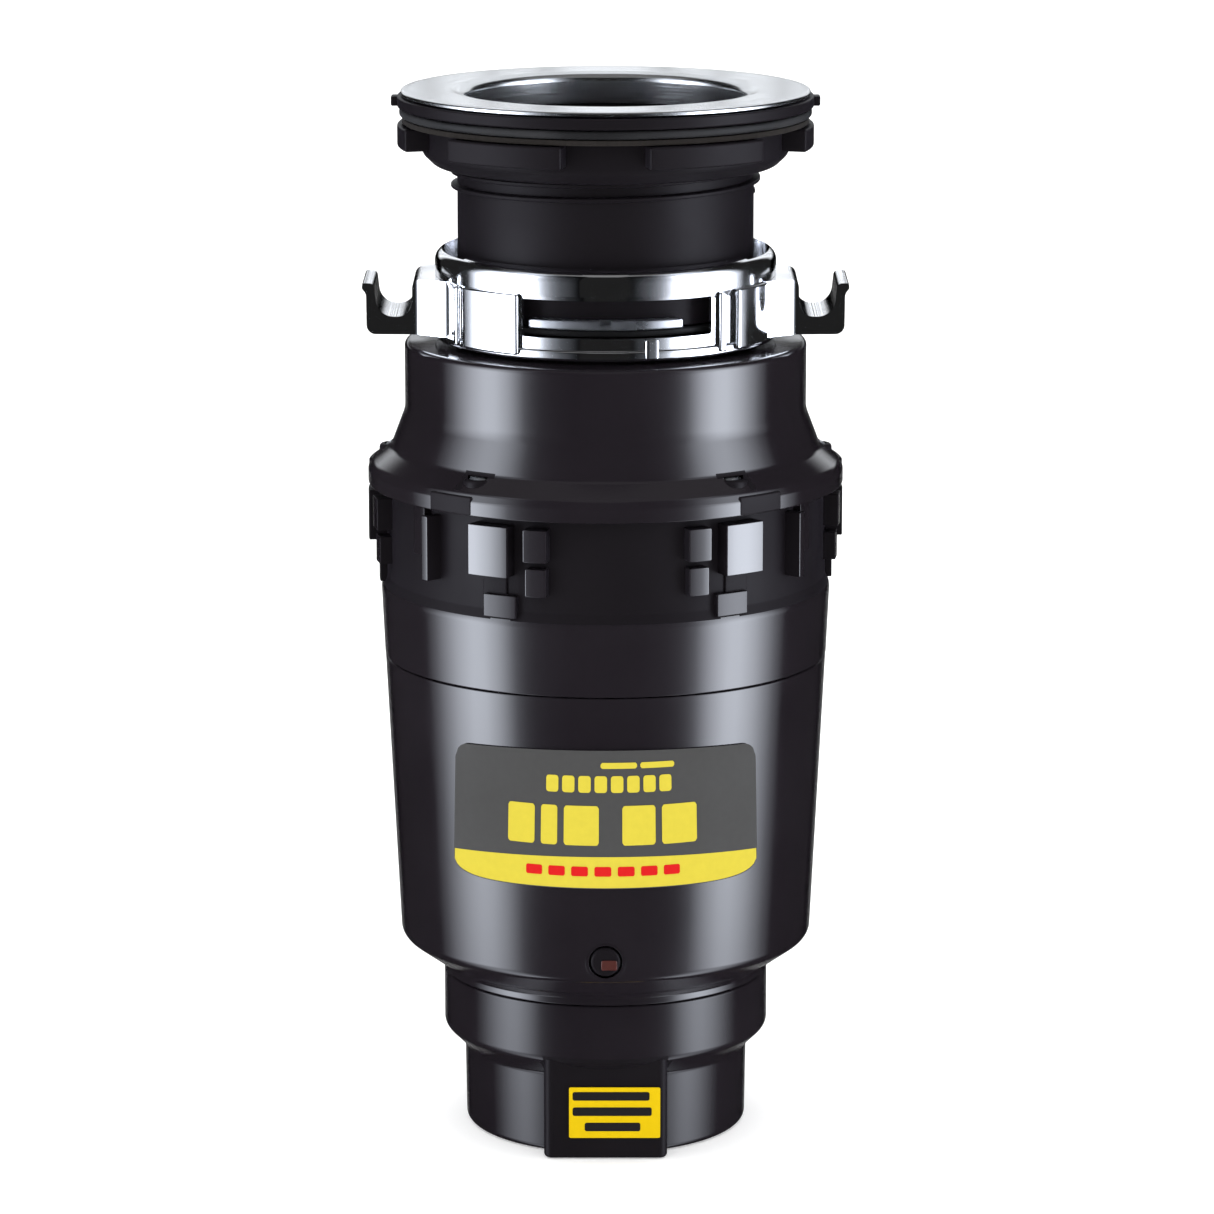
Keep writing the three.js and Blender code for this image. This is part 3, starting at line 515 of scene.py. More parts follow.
def satin_plastic(name, color, rough, specular=0.15):
    """Spark-eroded mould finish: fine even grain. Laid on glossy mouldings, this dark dull finish is painted
    shade.
    """
    n = Nodes(name, color, rough)
    n.shader.inputs["Specular IOR Level"].default_value = specular
    n.roughness(n.ramp(n.noise(35, 4), 0.3, 0.7, rough - 0.06, rough + 0.08))
    n.tint(n.noise(18, 3), color, tuple(c * 1.35 + 0.002 for c in color))
    n.bump(n.noise(2600, 3), 0.02, 0.5)
    return n.material


def rubber(name):
    n = Nodes(name, (0.012, 0.012, 0.013), 0.62)
    n.shader.inputs["Specular IOR Level"].default_value = 0.15
    bloom = n.noise(45, 5)
    n.tint(n.ramp(bloom, 0.4, 0.75, 0, 1), (0.011, 0.011, 0.012), (0.028, 0.028, 0.03))
    n.roughness(n.ramp(bloom, 0.3, 0.75, 0.5, 0.78))
    n.bump(n.noise(1800, 4), 0.03, 0.5)
    return n.material


def fibre(name):
    n = Nodes(name, (0.03, 0.026, 0.024), 0.85)
    n.shader.inputs["Specular IOR Level"].default_value = 0.15
    strands = n.noise(900, 6, stretch=(1, 1, 0.2))
    n.tint(strands, (0.009, 0.008, 0.007), (0.024, 0.02, 0.018))
    n.bump(strands, 0.08, 0.7)
    return n.material


def chrome(name):
    """Bright plate over a die casting: slight waviness and a few dull patches."""
    n = Nodes(name, (0.8, 0.81, 0.83), 0.07, 1.0)
    patches = n.noise(40, 5)
    n.roughness(n.ramp(patches, 0.35, 0.8, 0.05, 0.17))
    n.tint(n.ramp(patches, 0.45, 0.8, 0, 1), (0.82, 0.83, 0.85), (0.7, 0.7, 0.72))
    n.bump(n.noise(130, 2), 0.03, 0.5)
    n.bump(n.noise(900, 3), 0.003, 0.4)
    return n.material


def turned_metal(name, color, low, high, marks=0.012):
    """Metal with fine turning marks that run round the part's axis."""
    n = Nodes(name, color, low, 1.0)
    lines = n.noise(1.0, 4, place=n.ringed_place(2600, 3))
    n.roughness(n.ramp(lines, 0.25, 0.75, low, high))
    n.tint(n.ramp(n.noise(30, 4), 0.35, 0.75, 0, 1), color, tuple(c * 0.82 for c in color))
    n.bump(lines, marks, 0.5)
    return n.material


def plated_metal(name, color, low, high):
    """Zinc plate or a rolled sheet: soft blotches and fine pits."""
    n = Nodes(name, color, low, 1.0)
    blotches = n.noise(160, 5)
    n.roughness(n.ramp(blotches, 0.3, 0.75, low, high))
    n.tint(blotches, tuple(c * 0.75 for c in color), tuple(min(1, c * 1.2) for c in color))
    n.bump(n.noise(1500, 4), 0.01, 0.5)
    return n.material


def cast_metal(name, color):
    n = Nodes(name, color, 0.5, 1.0)
    skin = n.noise(700, 6)
    n.roughness(n.ramp(skin, 0.3, 0.7, 0.38, 0.6))
    n.tint(n.noise(60, 4), tuple(c * 0.8 for c in color), color)
    n.bump(skin, 0.09, 0.6)
    return n.material


def wound_copper(name):
    """Enamelled wire laid side by side, half a millimetre apart."""
    n = Nodes(name, (0.6, 0.27, 0.12), 0.3, 1.0)
    wires = n.tree.nodes.new("ShaderNodeTexWave")
    wires.inputs["Scale"].default_value = 300
    wires.inputs["Distortion"].default_value = 1.5
    n.link(n.place, wires.inputs["Vector"])
    n.tint(wires.outputs["Fac"], (0.32, 0.11, 0.04), (0.66, 0.3, 0.13))
    n.bump(wires.outputs["Fac"], 0.2, 0.8)
    return n.material


def sintered(name, color):
    n = Nodes(name, color, 0.7)
    grain = n.noise(1700, 5)
    n.tint(grain, tuple(c * 0.6 for c in color), tuple(c * 1.5 for c in color))
    n.roughness(n.ramp(grain, 0.3, 0.7, 0.6, 0.85))
    n.bump(grain, 0.05, 0.6)
    return n.material


def printed_film(name, color, rough=0.6):
    """Matt vinyl label stock: flat ink with a slight emboss and handling marks."""
    n = Nodes(name, color, rough)
    n.shader.inputs["Specular IOR Level"].default_value = 0.06
    n.roughness(n.ramp(n.noise(70, 4), 0.3, 0.75, rough - 0.08, rough + 0.14))
    n.tint(n.noise(500, 4), tuple(c * 0.93 for c in color), tuple(min(1, c * 1.06) for c in color))
    n.bump(n.noise(900, 3), 0.006, 0.4)
    return n.material


add_camera()
add_lights()
add_floor()

BLACK = gloss_plastic("black_gloss", (0.0105, 0.0085, 0.0112), 0.09, 0.17)
# Shaded and lit copies of black gloss: the lower specular level paints shade on the base cap and on the
# band's steps, and the higher one paints a highlight on the band's pads.
SHADED_BLACK = gloss_plastic("black_gloss_painted_shade", (0.0105, 0.0085, 0.0112), 0.1, 0.16, 0.25)
HIGHLIGHT_BLACK = gloss_plastic("black_gloss_painted_highlight", (0.0105, 0.0085, 0.0112), 0.08, 0.14, 0.68)
# Dark dull black: the real finish of the neck and the nut. On the button, the rim patches and parts of the
# glossy hopper, housing and cap it is painted shade.
SATIN_AND_SHADE_BLACK = satin_plastic("black_satin_and_painted_shade", (0.0068, 0.0056, 0.0072), 0.4, 0.05)
INNER = satin_plastic("black_inner", (0.02, 0.019, 0.021), 0.5)
RUBBER = rubber("rubber")
FIBRE = fibre("fibre")
CHROME = chrome("chrome")
STAINLESS = turned_metal("stainless", (0.66, 0.67, 0.68), 0.14, 0.26, 0.003)
STEEL = plated_metal("zinc_steel", (0.42, 0.43, 0.45), 0.25, 0.42)
RACE_STEEL = turned_metal("bearing_steel", (0.55, 0.56, 0.58), 0.1, 0.2, 0.004)
FERRITE = sintered("ferrite", (0.045, 0.045, 0.05))
CARBON = sintered("carbon", (0.025, 0.025, 0.026))
COPPER = wound_copper("copper")
BRASS = plated_metal("brass", (0.66, 0.48, 0.19), 0.2, 0.36)
CAST = cast_metal("cast_aluminium", (0.55, 0.56, 0.57))
LABEL_GREY = printed_film("label_grey", (0.06, 0.06, 0.06))
LABEL_YELLOW = printed_film("label_yellow", (0.6, 0.5, 0.05))
STICKER_YELLOW = printed_film("sticker_yellow", (0.7, 0.48, 0.003))
INK_RED = printed_film("ink_red", (0.58, 0.012, 0.012))
INK_BLACK = printed_film("ink_black", (0.012, 0.011, 0.012))
RED = gloss_plastic("red_button", (0.055, 0.009, 0.006), 0.3, 0.45)


# ---------------------------------------------------------------- sizes in millimetres, some read from the frame
def limits(node):
    low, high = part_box(node)
    return low / MM, high / MM


FLANGE_TOP = limits("sink_flange")[1].z
FLANGE_R = limits("sink_flange")[1].x
TUBE_BOTTOM = limits("mount_tube")[0].z
TUBE_TOP = limits("mount_tube")[1].z
NUT_LOW, NUT_TOP = (corner.z for corner in limits("support_nut"))
RING_LOW, RING_TOP = (corner.z for corner in limits("mount_ring"))
EAR_REACH = limits("mount_ring")[1].x
DECK = 227.5
NECK_TOP = limits("hopper")[1].z
RIM_LOW = limits("hopper")[0].z
HOUSING_LOW = limits("grind_housing")[0].z
HOUSING_TOP = limits("grind_housing")[1].z
SHELL_LOW, SHELL_TOP = (corner.z for corner in limits("motor_shell"))
CAP_TOP = limits("bottom_cap")[1].z
BUTTON_LOW, BUTTON_HIGH = limits("reset_button")
BUTTON_Z = (BUTTON_LOW.z + BUTTON_HIGH.z) / 2
BUTTON_FACE = -BUTTON_LOW.y
BUTTON_SUNK = 0.32
DRAIN_LOW, DRAIN_HIGH = limits("drain_flange")
DRAIN_Z = (DRAIN_LOW.z + DRAIN_HIGH.z) / 2
DRAIN_FACE = limits("drain_gasket")[0].y - 0.3
DRAIN_SCREW_X = 25
DRAIN_BORE = 15
SPIGOT_Z = 216
LIP_R = 40.2
TUBE_R = 41.5
TUBE_BORE = 38.9
PLATE_R = 58.2
PLATE_THICK = 3.1
PITCH = 4.0
THREAD_R = 43.2
NUT_BORE = 43.6
NUT_R = 51.3
WING_R = 58.2
NECK_R = 43.0
HOPPER_R = 56.6
RIM_R = 67.1
CHAMBER_R = 53.8
RECESS_R = 62.2
SHELL_TOP_R = 62.6
SHELL_EDGE = 56.3
SHELL_EDGE_R = 58.6
CAP_SCREW_X = 42.3
CORD_Z = 11.4
SCREW_R = 59.2
SCREW_AZIMUTHS = [side * (35 + 60 * k) for side in (1, -1) for k in range(3)]


def shell_radius(z):
    return SHELL_EDGE_R + (z - SHELL_EDGE) * (SHELL_TOP_R - SHELL_EDGE_R) / (SHELL_TOP - SHELL_EDGE)


# ---------------------------------------------------------------- sink fitting
def thread_rib(name, root, crest, start, turns, steps=96):
    """A right-handed thread rib that fades in and out at its ends."""
    bm = bmesh.new()
    rows = []
    count = round(turns * steps)
    outward = 1 if crest > root else -1
    depth = abs(crest - root)
    flank = [(0, -0.95), (0.7, -0.62), (0.93, -0.5), (1, -0.3)]
    section = flank + [(out, -rise) for out, rise in reversed(flank)]
    for i in range(count + 1):
        angle = 2 * math.pi * i / steps
        fade = min(1, i / (steps * 0.12), (count - i) / (steps * 0.12))
        reach = 0.35 + 0.65 * max(0.02, fade)
        row = []
        for out, rise in section:
            radius = root + outward * depth * out * reach
            height = start + PITCH * i / steps + rise
            x, y = radius * MM * math.cos(angle), radius * MM * math.sin(angle)
            row.append(bm.verts.new((x, y, height * MM)))
        rows.append(row)
    for first, second in zip(rows, rows[1:]):
        for k in range(len(section)):
            after = (k + 1) % len(section)
            bm.faces.new([first[k], first[after], second[after], second[k]])
    bm.faces.new(rows[0])
    bm.faces.new(list(reversed(rows[-1])))
    return new_object(name, bm)


def make_sink_flange():
    under = FLANGE_TOP - 1.4
    outline = rounded([
        (LIP_R - 0.9, FLANGE_TOP - 9, 0.3),
        (LIP_R, FLANGE_TOP - 9, 0.3),
        (LIP_R, under, 0.2),
        (FLANGE_R, under, 0.4),
        (FLANGE_R, FLANGE_TOP - 0.15, 0.7),
        (FLANGE_R - 2.2, FLANGE_TOP, 1),
        (LIP_R + 3, FLANGE_TOP - 0.05, 2),
        (LIP_R - 0.9, FLANGE_TOP - 0.9, 2.2),
    ])
    flange = revolve("flange", outline)
    finish_piece(flange, "sink_flange_ring", STAINLESS, "housing", ["sink_flange"])


def make_mount_tube():
    seat = LIP_R + 0.3
    body = revolve("tube", rounded([
        (TUBE_BORE, TUBE_BOTTOM, 0.5),
        (TUBE_R, TUBE_BOTTOM, 0.4),
        (TUBE_R, TUBE_TOP - PLATE_THICK, 0.8),
        (PLATE_R, TUBE_TOP - PLATE_THICK, 0.6),
        (PLATE_R, TUBE_TOP, 0.5),
        (seat, TUBE_TOP, 0.2),
        (seat, FLANGE_TOP - 9.5, 0.2),
        (TUBE_BORE, FLANGE_TOP - 9.5, 0.2),
    ]))
    rib = thread_rib("rib", TUBE_R - 0.4, THREAD_R + 0.1, 269.2, 5.3)
    tab_low = TUBE_TOP - PLATE_THICK + 0.1
    tab = sector("tab", PLATE_R - 1.5, PLATE_R + 1.7, 87.2, 92.8, tab_low, TUBE_TOP - 0.3, 0.5)
    join(body, [rib, *ringed(tab, 2)])
    finish_piece(body, "threaded_neck", SATIN_AND_SHADE_BLACK, "housing", ["mount_tube"])
    for i in range(2):
        middle = 180 * i
        lug = sector("lug", TUBE_R + 0.02, 45.5, middle - 28, middle + 28, TUBE_BOTTOM + 0.1, 239.4, 0.5)
        cut(lug, [sector("notch", TUBE_R + 2.2, 47, middle - 2, middle + 2, TUBE_BOTTOM + 1.4, 241, 0)])
        finish_piece(lug, f"bayonet_lug_{i + 1}", STEEL, "housing")


def make_clamp_rings():
    gasket_low, gasket_high = limits("flange_gasket")
    washer_low, washer_high = limits("fibre_washer")
    gasket = tube("gasket", NUT_BORE + 0.2, gasket_high.x, gasket_low.z, gasket_high.z, 0.9)
    finish_piece(gasket, "sink_gasket", RUBBER, "housing", ["flange_gasket"])
    washer = tube("washer", NUT_BORE + 0.2, washer_high.x, washer_low.z, washer_high.z, 0.25)
    finish_piece(washer, "friction_washer", FIBRE, "clamp_washer", ["fibre_washer"])


def make_support_nut():
    body = revolve("nut", rounded([
        (NUT_BORE, NUT_LOW, 0.5),
        (NUT_R - 3.6, NUT_LOW, 3.2),
        (NUT_R, NUT_LOW + 3.4, 3),
        (NUT_R, NUT_TOP, 0.6),
        (NUT_BORE, NUT_TOP, 0.5),
    ], 8))
    wing = sector("wing", NUT_R - 1.5, WING_R, -18, 18, NUT_LOW + 5.2, NUT_TOP - 0.02, 0.7)
    pockets = [sector("pocket", NUT_R + 1.6, WING_R - 2.2, start, start + 12, NUT_LOW, NUT_TOP - 1.8, 0.6)
               for start in (-14, 2)]
    wing = spun(cut(wing, pockets), 90)
    rib = sector("rib", NUT_R - 1, NUT_R + 1.2, -1, 1, NUT_LOW + 5, NUT_TOP - 0.4, 0.4)
    ribs = [copied(rib, 60 * k + offset) for k in range(6) for offset in (22, 30, 38)]
    bpy.data.objects.remove(rib)
    thread = thread_rib("thread", NUT_BORE + 0.4, TUBE_R + 0.95, 278, 2.25)
    join(body, [*ringed(wing, 6), *ribs, thread])
    finish_piece(body, "clamp_nut", SATIN_AND_SHADE_BLACK, "nut", ["support_nut"])


def make_baffle():
    wall = TUBE_BORE - 0.4
    body = revolve("baffle", rounded([
        (wall - 2, NECK_TOP + 0.3, 0.5),
        (NECK_R, NECK_TOP + 0.3, 0.7),
        (NECK_R, TUBE_BOTTOM - 0.3, 0.7),
        (wall, TUBE_BOTTOM - 0.3, 0.4),
        (wall, 262, 1.6),
        (30, 261.4, 6),
        (8, 258.6, 0.6),
        (8, 256.9, 0.6),
        (30, 259.6, 6),
        (wall - 2, 260, 1.2),
    ], 6))
    slit = block("slit", (6, -0.5, 255), (32, 0.5, 264), 0)
    join(slit, [rod("slit_end", 1.1, 255, 264, (32, 0), 0, 20)])
    cut(body, [spun(leaf_gap, 22.5) for leaf_gap in ringed(slit, 8)])
    finish_piece(body, "splash_guard", RUBBER, "housing", ["splash_baffle"])


# ---------------------------------------------------------------- mounting ring
def make_ear():
    """The hook on the ring's +X side, drawn from the front and given its depth along Y."""
    outline = rounded([
        (42, RING_LOW + 2.1),
        (EAR_REACH - 1.3, RING_LOW + 2.1, 2.6),
        (EAR_REACH - 1.2, 242, 3),
        (EAR_REACH - 0.05, 243.4, 1),
        (EAR_REACH - 0.05, 245, 1),
        (EAR_REACH - 3.4, 244.9, 1.4),
        (EAR_REACH - 4.4, 235.6, 5),
        (54, 235.6, 4.2),
        (53.9, 246, 2.4),
        (42, 246.4),
    ], 8)
    upright = spun(prism("ear", outline, -20, 20, 0.9, 3), 90, "X")
    half = [(40, -19.5), (44.5, -18.6, 3), (52.5, -13.2, 3), (EAR_REACH + 1, -12.6)]
    plan = rounded(half + [(x, -y, *r) for x, y, *r in reversed(half)], 6)
    return combine(upright, [prism("plan", plan, RING_LOW, RING_TOP)], "INTERSECT")


def make_mount_ring():
    ring_r = 47.6
    waist = 246.4
    body = revolve("ring", rounded([
        (36, RING_LOW + 0.02),
        (ring_r + 0.4, RING_LOW + 0.02, 0.8),
        (ring_r + 0.4, RING_LOW + 2.4, 0.9),
        (ring_r - 0.3, RING_LOW + 3, 0.5),
        (ring_r - 0.3, 244.6, 0.8),
        (ring_r + 0.3, waist, 1.2),
        (ring_r + 0.3, RING_TOP - 1.1, 3.6),
        (41, RING_TOP - 1.1, 1.0),
        (36, RING_TOP - 3),
    ], 8))
    pads = [
        sector("pad", 46.6, ring_r + 1.6, -54, -29.5, RING_LOW + 1, waist, 0.7),
        sector("pad", 46.6, ring_r + 1.6, 48, 67, RING_LOW + 1, waist, 0.7),
        sector("rib", 46.6, ring_r + 1.2, -60, -57.5, RING_LOW + 1, 246, 0.6),
        sector("rib", 46.6, ring_r + 1.2, 40.5, 43.5, RING_LOW + 1, 246, 0.6),
        sector("rib", 46.6, ring_r + 1.2, 70.5, 73, RING_LOW + 1, 246, 0.6),
        sector("post", 46.6, ring_r + 1.3, 13, 17.5, RING_LOW + 0.4, 234.6, 0.6),
    ]
    join(body, [*ringed(make_ear(), 2), *[twin for pad in pads for twin in ringed(pad, 2)]])
    bore = revolve("bore", [
        (0, RING_LOW - 5),
        (NECK_R + 0.4, RING_LOW - 5),
        (NECK_R + 0.4, RING_LOW + 2.5),
        (46, RING_LOW + 2.5),
        (46, 245.4),
        (42.3, 245.4),
        (42.3, RING_TOP - 2.4),
        (42.9, RING_TOP - 1.4),
        (44, RING_TOP + 4),
        (0, RING_TOP + 4),
    ])
    window = sector("window", 43, 52, -29, 38, 234.7, 245.2, 0.8)
    entry = sector("entry", 41, 45.9, 59, 121, 245, RING_TOP + 2, 0)
    cut(body, [bore, *ringed(window, 2), *ringed(entry, 2)])
    soften_edges(body, 0.25)
    finish_piece(body, "bayonet_ring", CHROME, "lock_ring", ["mount_ring"])


def make_snap_ring():
    low, high = limits("snap_ring")
    ring = sector("snap", NECK_R - 0.4, 45.5, 8, 352, low.z, high.z, 0.35)
    finish_piece(ring, "retaining_ring", STEEL, "housing", ["snap_ring"])


# ---------------------------------------------------------------- hopper and grinding chamber
def make_hopper():
    body = revolve("hopper", rounded([
        (38.6, NECK_TOP, 0.5),
        (NECK_R, NECK_TOP, 0.5),
        (NECK_R, 233.6, 0.15),
        (NECK_R - 0.8, 233.6, 0.15),
        (NECK_R - 0.8, 231.3, 0.15),
        (NECK_R, 231.3, 0.15),
        (NECK_R, DECK, 1.2),
        (HOPPER_R - 0.05, DECK, 1.6),
        (HOPPER_R - 0.05, 208, 9),
        (60.5, 197.6, 3),
        (65.8, 193.4, 3),
        (RIM_R, 191.2, 1.2),
        (RIM_R, RIM_LOW, 0.4),
        (CHAMBER_R, RIM_LOW, 0.5),
        (CHAMBER_R, DECK - 2.8, 3),
        (38.6, DECK - 2.8, 0.8),
    ], 10))
    boss_r = 4.8
    boss_places = [on_circle(SCREW_R + 0.4, azimuth) for azimuth in SCREW_AZIMUTHS]
    bosses = [rod("boss", boss_r, RIM_LOW + 0.1, 196.6, place, 1) for place in boss_places]
    spigot = along_y(rod("spigot", 9.4, CHAMBER_R + 1, 75, edge=0.5), 0, 0, SPIGOT_Z)
    barbs = [along_y(rod("barb", 10.2, y, y + 1.6, edge=0.7), 0, 0, SPIGOT_Z) for y in (65, 70)]
    gussets = [block("gusset", (side * 9 - 1, 50, SPIGOT_Z - 1), (side * 9 + 1, 60, SPIGOT_Z + 1), 0.4)
               for side in (-1, 1)]
    join(body, [*bosses, spigot, *barbs, *gussets])
    heads = [rod("head", 3.8, 194.4, 197.3, on_circle(SCREW_R, a), 0) for a in SCREW_AZIMUTHS]
    holes = [rod("hole", 2.2, RIM_LOW - 1, 195, on_circle(SCREW_R, a), 0) for a in SCREW_AZIMUTHS]
    knock_out = along_y(rod("knock_out", 7.4, CHAMBER_R + 2.6, 77, edge=0), 0, 0, SPIGOT_Z)
    cut(body, [*heads, *holes, knock_out])
    finish_piece(body, "hopper_body", BLACK, "housing", ["hopper"])
    # The screw bosses' faces get the dark dull black: painted shade on the glossy hopper.
    body.data.materials.append(SATIN_AND_SHADE_BLACK)
    for face in body.data.polygons:
        centre = face.center / MM
        for x, y in boss_places:
            if 188 < centre.z < 198.5 and math.hypot(centre.x - x, centre.y - y) < boss_r + 0.05:
                face.material_index = 1
    # Thin dark dull patches laid on the rim beside each screw boss: painted shade, not separate parts.
    for i in range(3):
        for letter, side in (("a", -1), ("b", 1)):
            start = side * (39.5 + 60 * i) - 6.4
            shade_patch = sector("shade_patch", RIM_R - 1.5, RIM_R + 0.12, start, start + 12.8, RIM_LOW + 0.1, 192.6, 0.5)
            finish_piece(shade_patch, f"rim_shade_patch_{letter}{i + 1}", SATIN_AND_SHADE_BLACK, "housing")


def housing_pads():
    """Raised pads, hooks and webs between the hopper's rim and the motor shell."""
    pads = []
    top = 185.2
    for side in (-1, 1):
        for k in range(3):
            middle = 3 + side * (31.9 + 60 * k)
            inner = middle - side * 11.9
            web = middle - side * 1.9
            fin = middle + side * 19.2
            strip = middle + side * 24.4
            pads += [
                sector("pad", RECESS_R - 1, RIM_R, middle - 5.3, middle + 5.3, 171, top, 0.3),
                sector("stem", RECESS_R - 1, RECESS_R + 0.7, middle - 3.4, middle + 3.4, 164, 171.6, 0.3),
                sector("web", RECESS_R - 1, 64.2, web - 4.5, web + 4.5, 159.2, 165.6, 0.3),
                sector("hook", RECESS_R - 1, RIM_R - 0.6, inner - 2.9, inner + 2.9, 175.7, top - 0.4, 0.3),
                sector("step", RECESS_R - 1, RIM_R - 1.4, inner - 2.6, inner + 2.6, 166, 173.8, 0.3),
                sector("fin", RECESS_R - 1, RIM_R, fin - 1.1, fin + 1.1, 167, top, 0.3),
                sector("strip", RECESS_R - 1, 64.4, strip - 2.4, strip + 2.4, 173, HOUSING_TOP - 0.3, 0.3),
            ]
    return pads


def make_grind_housing():
    trough_low = 143.5
    body = revolve("housing", rounded([
        (SHELL_TOP_R + 0.1, HOUSING_LOW, 0.35),
        (63.6, 157.6, 4),
        (RECESS_R, 161, 1.5),
        (RECESS_R, HOUSING_TOP, 0.3),
        (55.9, HOUSING_TOP, 0.4),
        (55.9, 162.4, 0.3),
        (54.2, 162.4, 0.4),
        (54.2, trough_low + 2.5, 3),
        (20, trough_low, 3),
        (20, 158, 0.6),
        (13.3, 158, 0.3),
        (13.3, 151, 0.2),
        (10, 151, 0.2),
        (10, 148.5, 0.2),
        (16.3, 148.5, 0.2),
        (16.3, HOUSING_LOW, 0.4),
        (20, HOUSING_LOW, 0.4),
        (20, 140, 0.8),
        (58.5, 140, 0.8),
        (58.5, HOUSING_LOW, 0.4),
    ], 6))
    drain_screws = (-DRAIN_SCREW_X, DRAIN_SCREW_X)
    boss = along_y(rod("boss", 18.4, 57, DRAIN_FACE, edge=0.5, sides=96), 0, 0, DRAIN_Z)
    ears = [along_y(rod("ear", 5.4, 57, DRAIN_FACE, edge=0.5), x, 0, DRAIN_Z) for x in drain_screws]
    web_low = (-DRAIN_SCREW_X, 57, DRAIN_Z - 5)
    web = block("web", web_low, (DRAIN_SCREW_X, DRAIN_FACE - 0.02, DRAIN_Z + 5), 0.4)
    join(body, [*housing_pads(), boss, *ears, web])
    bore = along_y(rod("bore", DRAIN_BORE, 52, DRAIN_FACE + 1, edge=0, sides=96), 0, 0, DRAIN_Z)
    seat = revolve("seat", [(0.1, 162.4), (55.9, 162.4), (55.9, HOUSING_TOP + 1), (0.1, HOUSING_TOP + 1)])
    drain_holes = [along_y(rod("hole", 1.8, 62, DRAIN_FACE + 1, edge=0), x, 0, DRAIN_Z) for x in drain_screws]
    screw_holes = [rod("hole", 2.2, 170, HOUSING_TOP + 1, on_circle(SCREW_R, a), 0) for a in SCREW_AZIMUTHS]
    cut(body, [bore, seat, *drain_holes, *screw_holes])
    finish_piece(body, "drain_housing", BLACK, "housing", ["grind_housing"])
    # Painted light in the band: the recess and every face not facing outward get the dark dull black as
    # painted shade, the steps get the dimmed copy as painted shade, and the pads get the brightened copy as a
    # painted highlight.
    for material in (SATIN_AND_SHADE_BLACK, SHADED_BLACK, HIGHLIGHT_BLACK):
        body.data.materials.append(material)
    recess_low, outermost, pad_face, step_face = 159, 68, 65, 63
    for face in body.data.polygons:
        centre = face.center / MM
        radius = math.hypot(centre.x, centre.y)
        outward = (face.normal.x * centre.x + face.normal.y * centre.y) / radius
        if centre.z < recess_low or radius > outermost:
            continue
        raised = radius if outward > 0.95 else 0
        face.material_index = 3 if raised > pad_face else 2 if raised > step_face else 1


# ---------------------------------------------------------------- outer shells and controls
def make_motor_shell():
    body = revolve("shell", rounded([
        (38, SHELL_LOW, 0.4),
        (46.6, SHELL_LOW, 0.4),
        (46.6, 47.7, 0.6),
        (SHELL_EDGE_R, SHELL_EDGE, 3.5),
        (SHELL_TOP_R, SHELL_TOP, 0.45),
        (SHELL_TOP_R - 2.6, SHELL_TOP, 0.4),
        (shell_radius(58.5) - 2.6, 58.5, 2),
        (49.5, 52.6, 1),
        (38, 52.6, 0.4),
    ], 10))
    hole = along_y(rod("hole", 4.7, -64, -50, edge=0), 0, 0, BUTTON_Z)
    dish = along_y(rod("dish", 5.6, -64, -58.4, edge=0), 0, 0, BUTTON_Z)
    screws = [rod("hole", 1.9, SHELL_LOW - 1, 54, (side * CAP_SCREW_X, 0), 0) for side in (-1, 1)]
    cut(body, [hole, dish, *screws])
    soften_edges(body, 0.2)
    finish_piece(body, "motor_cover", BLACK, "housing", ["motor_shell"])


def make_bottom_cap():
    foot_r = 40.15
    body = revolve("cap", rounded([
        (0, 0.02),
        (foot_r, 0.02, 1.8),
        (foot_r + 0.4, 23.2, 2),
        (46.4, 28.9, 3),
        (46.4, CAP_TOP, 0.6),
        (43.9, CAP_TOP, 0.4),
        (43.9, 30.5, 2),
        (37.6, 24, 2),
        (37.6, 2.8, 1.5),
        (0, 2.8),
    ], 10))
    half, face = 17.4, -43.95
    plan = rounded([(-half, -34), (-half, face, 2.4), (half, face, 2.4), (half, -34)], 8)
    boss = prism("boss", plan, 0.03, 29.5, 1.1)
    boss = cut(boss, [revolve("inside", [(0, -1), (38, -1), (38, 31), (0, 31)], 96)])
    pillars = [rod("pillar", 4.3, 30.5, CAP_TOP - 0.02, (side * 41.9, 0), 0.3) for side in (-1, 1)]
    join(body, [boss, *pillars])
    heads = [rod("head", 3.2, 10, 30, (side * CAP_SCREW_X, 0), 0) for side in (-1, 1)]
    holes = [rod("hole", 1.9, 28, CAP_TOP + 1, (side * CAP_SCREW_X, 0), 0) for side in (-1, 1)]
    inlet = along_y(rod("inlet", 8, 34, 50, edge=0), 0, 0, CORD_Z)
    cut(body, [*heads, *holes, inlet])
    # The cap takes the dimmed copy of black gloss, which paints shade on its reflections; the front boss gets
    # the dark dull black, painted shade where its edges would catch the softboxes.
    finish_piece(body, "base_cap", SHADED_BLACK, "housing", ["bottom_cap"])
    body.data.materials.append(SATIN_AND_SHADE_BLACK)
    for polygon in body.data.polygons:
        centre = polygon.center / MM
        outside = math.hypot(centre.x, centre.y) > foot_r + 0.65
        if outside and centre.y < -36 and abs(centre.x) < half + 0.6 and centre.z < 30:
            polygon.material_index = 1


def make_gland():
    outline = rounded([(4.2, -4, 0.4), (7.55, -4, 0.5), (7.55, 3.6, 0.2), (9.35, 3.6, 0.4),
                       (8.8, 6.55, 1.2), (4.2, 6.55, 0.8)], 5)
    gland = along_y(revolve("gland", outline, 64), 0, limits("cord_gland")[1].y - 6.6, CORD_Z)
    finish_piece(gland, "cord_grommet", RUBBER, "housing", ["cord_gland"])


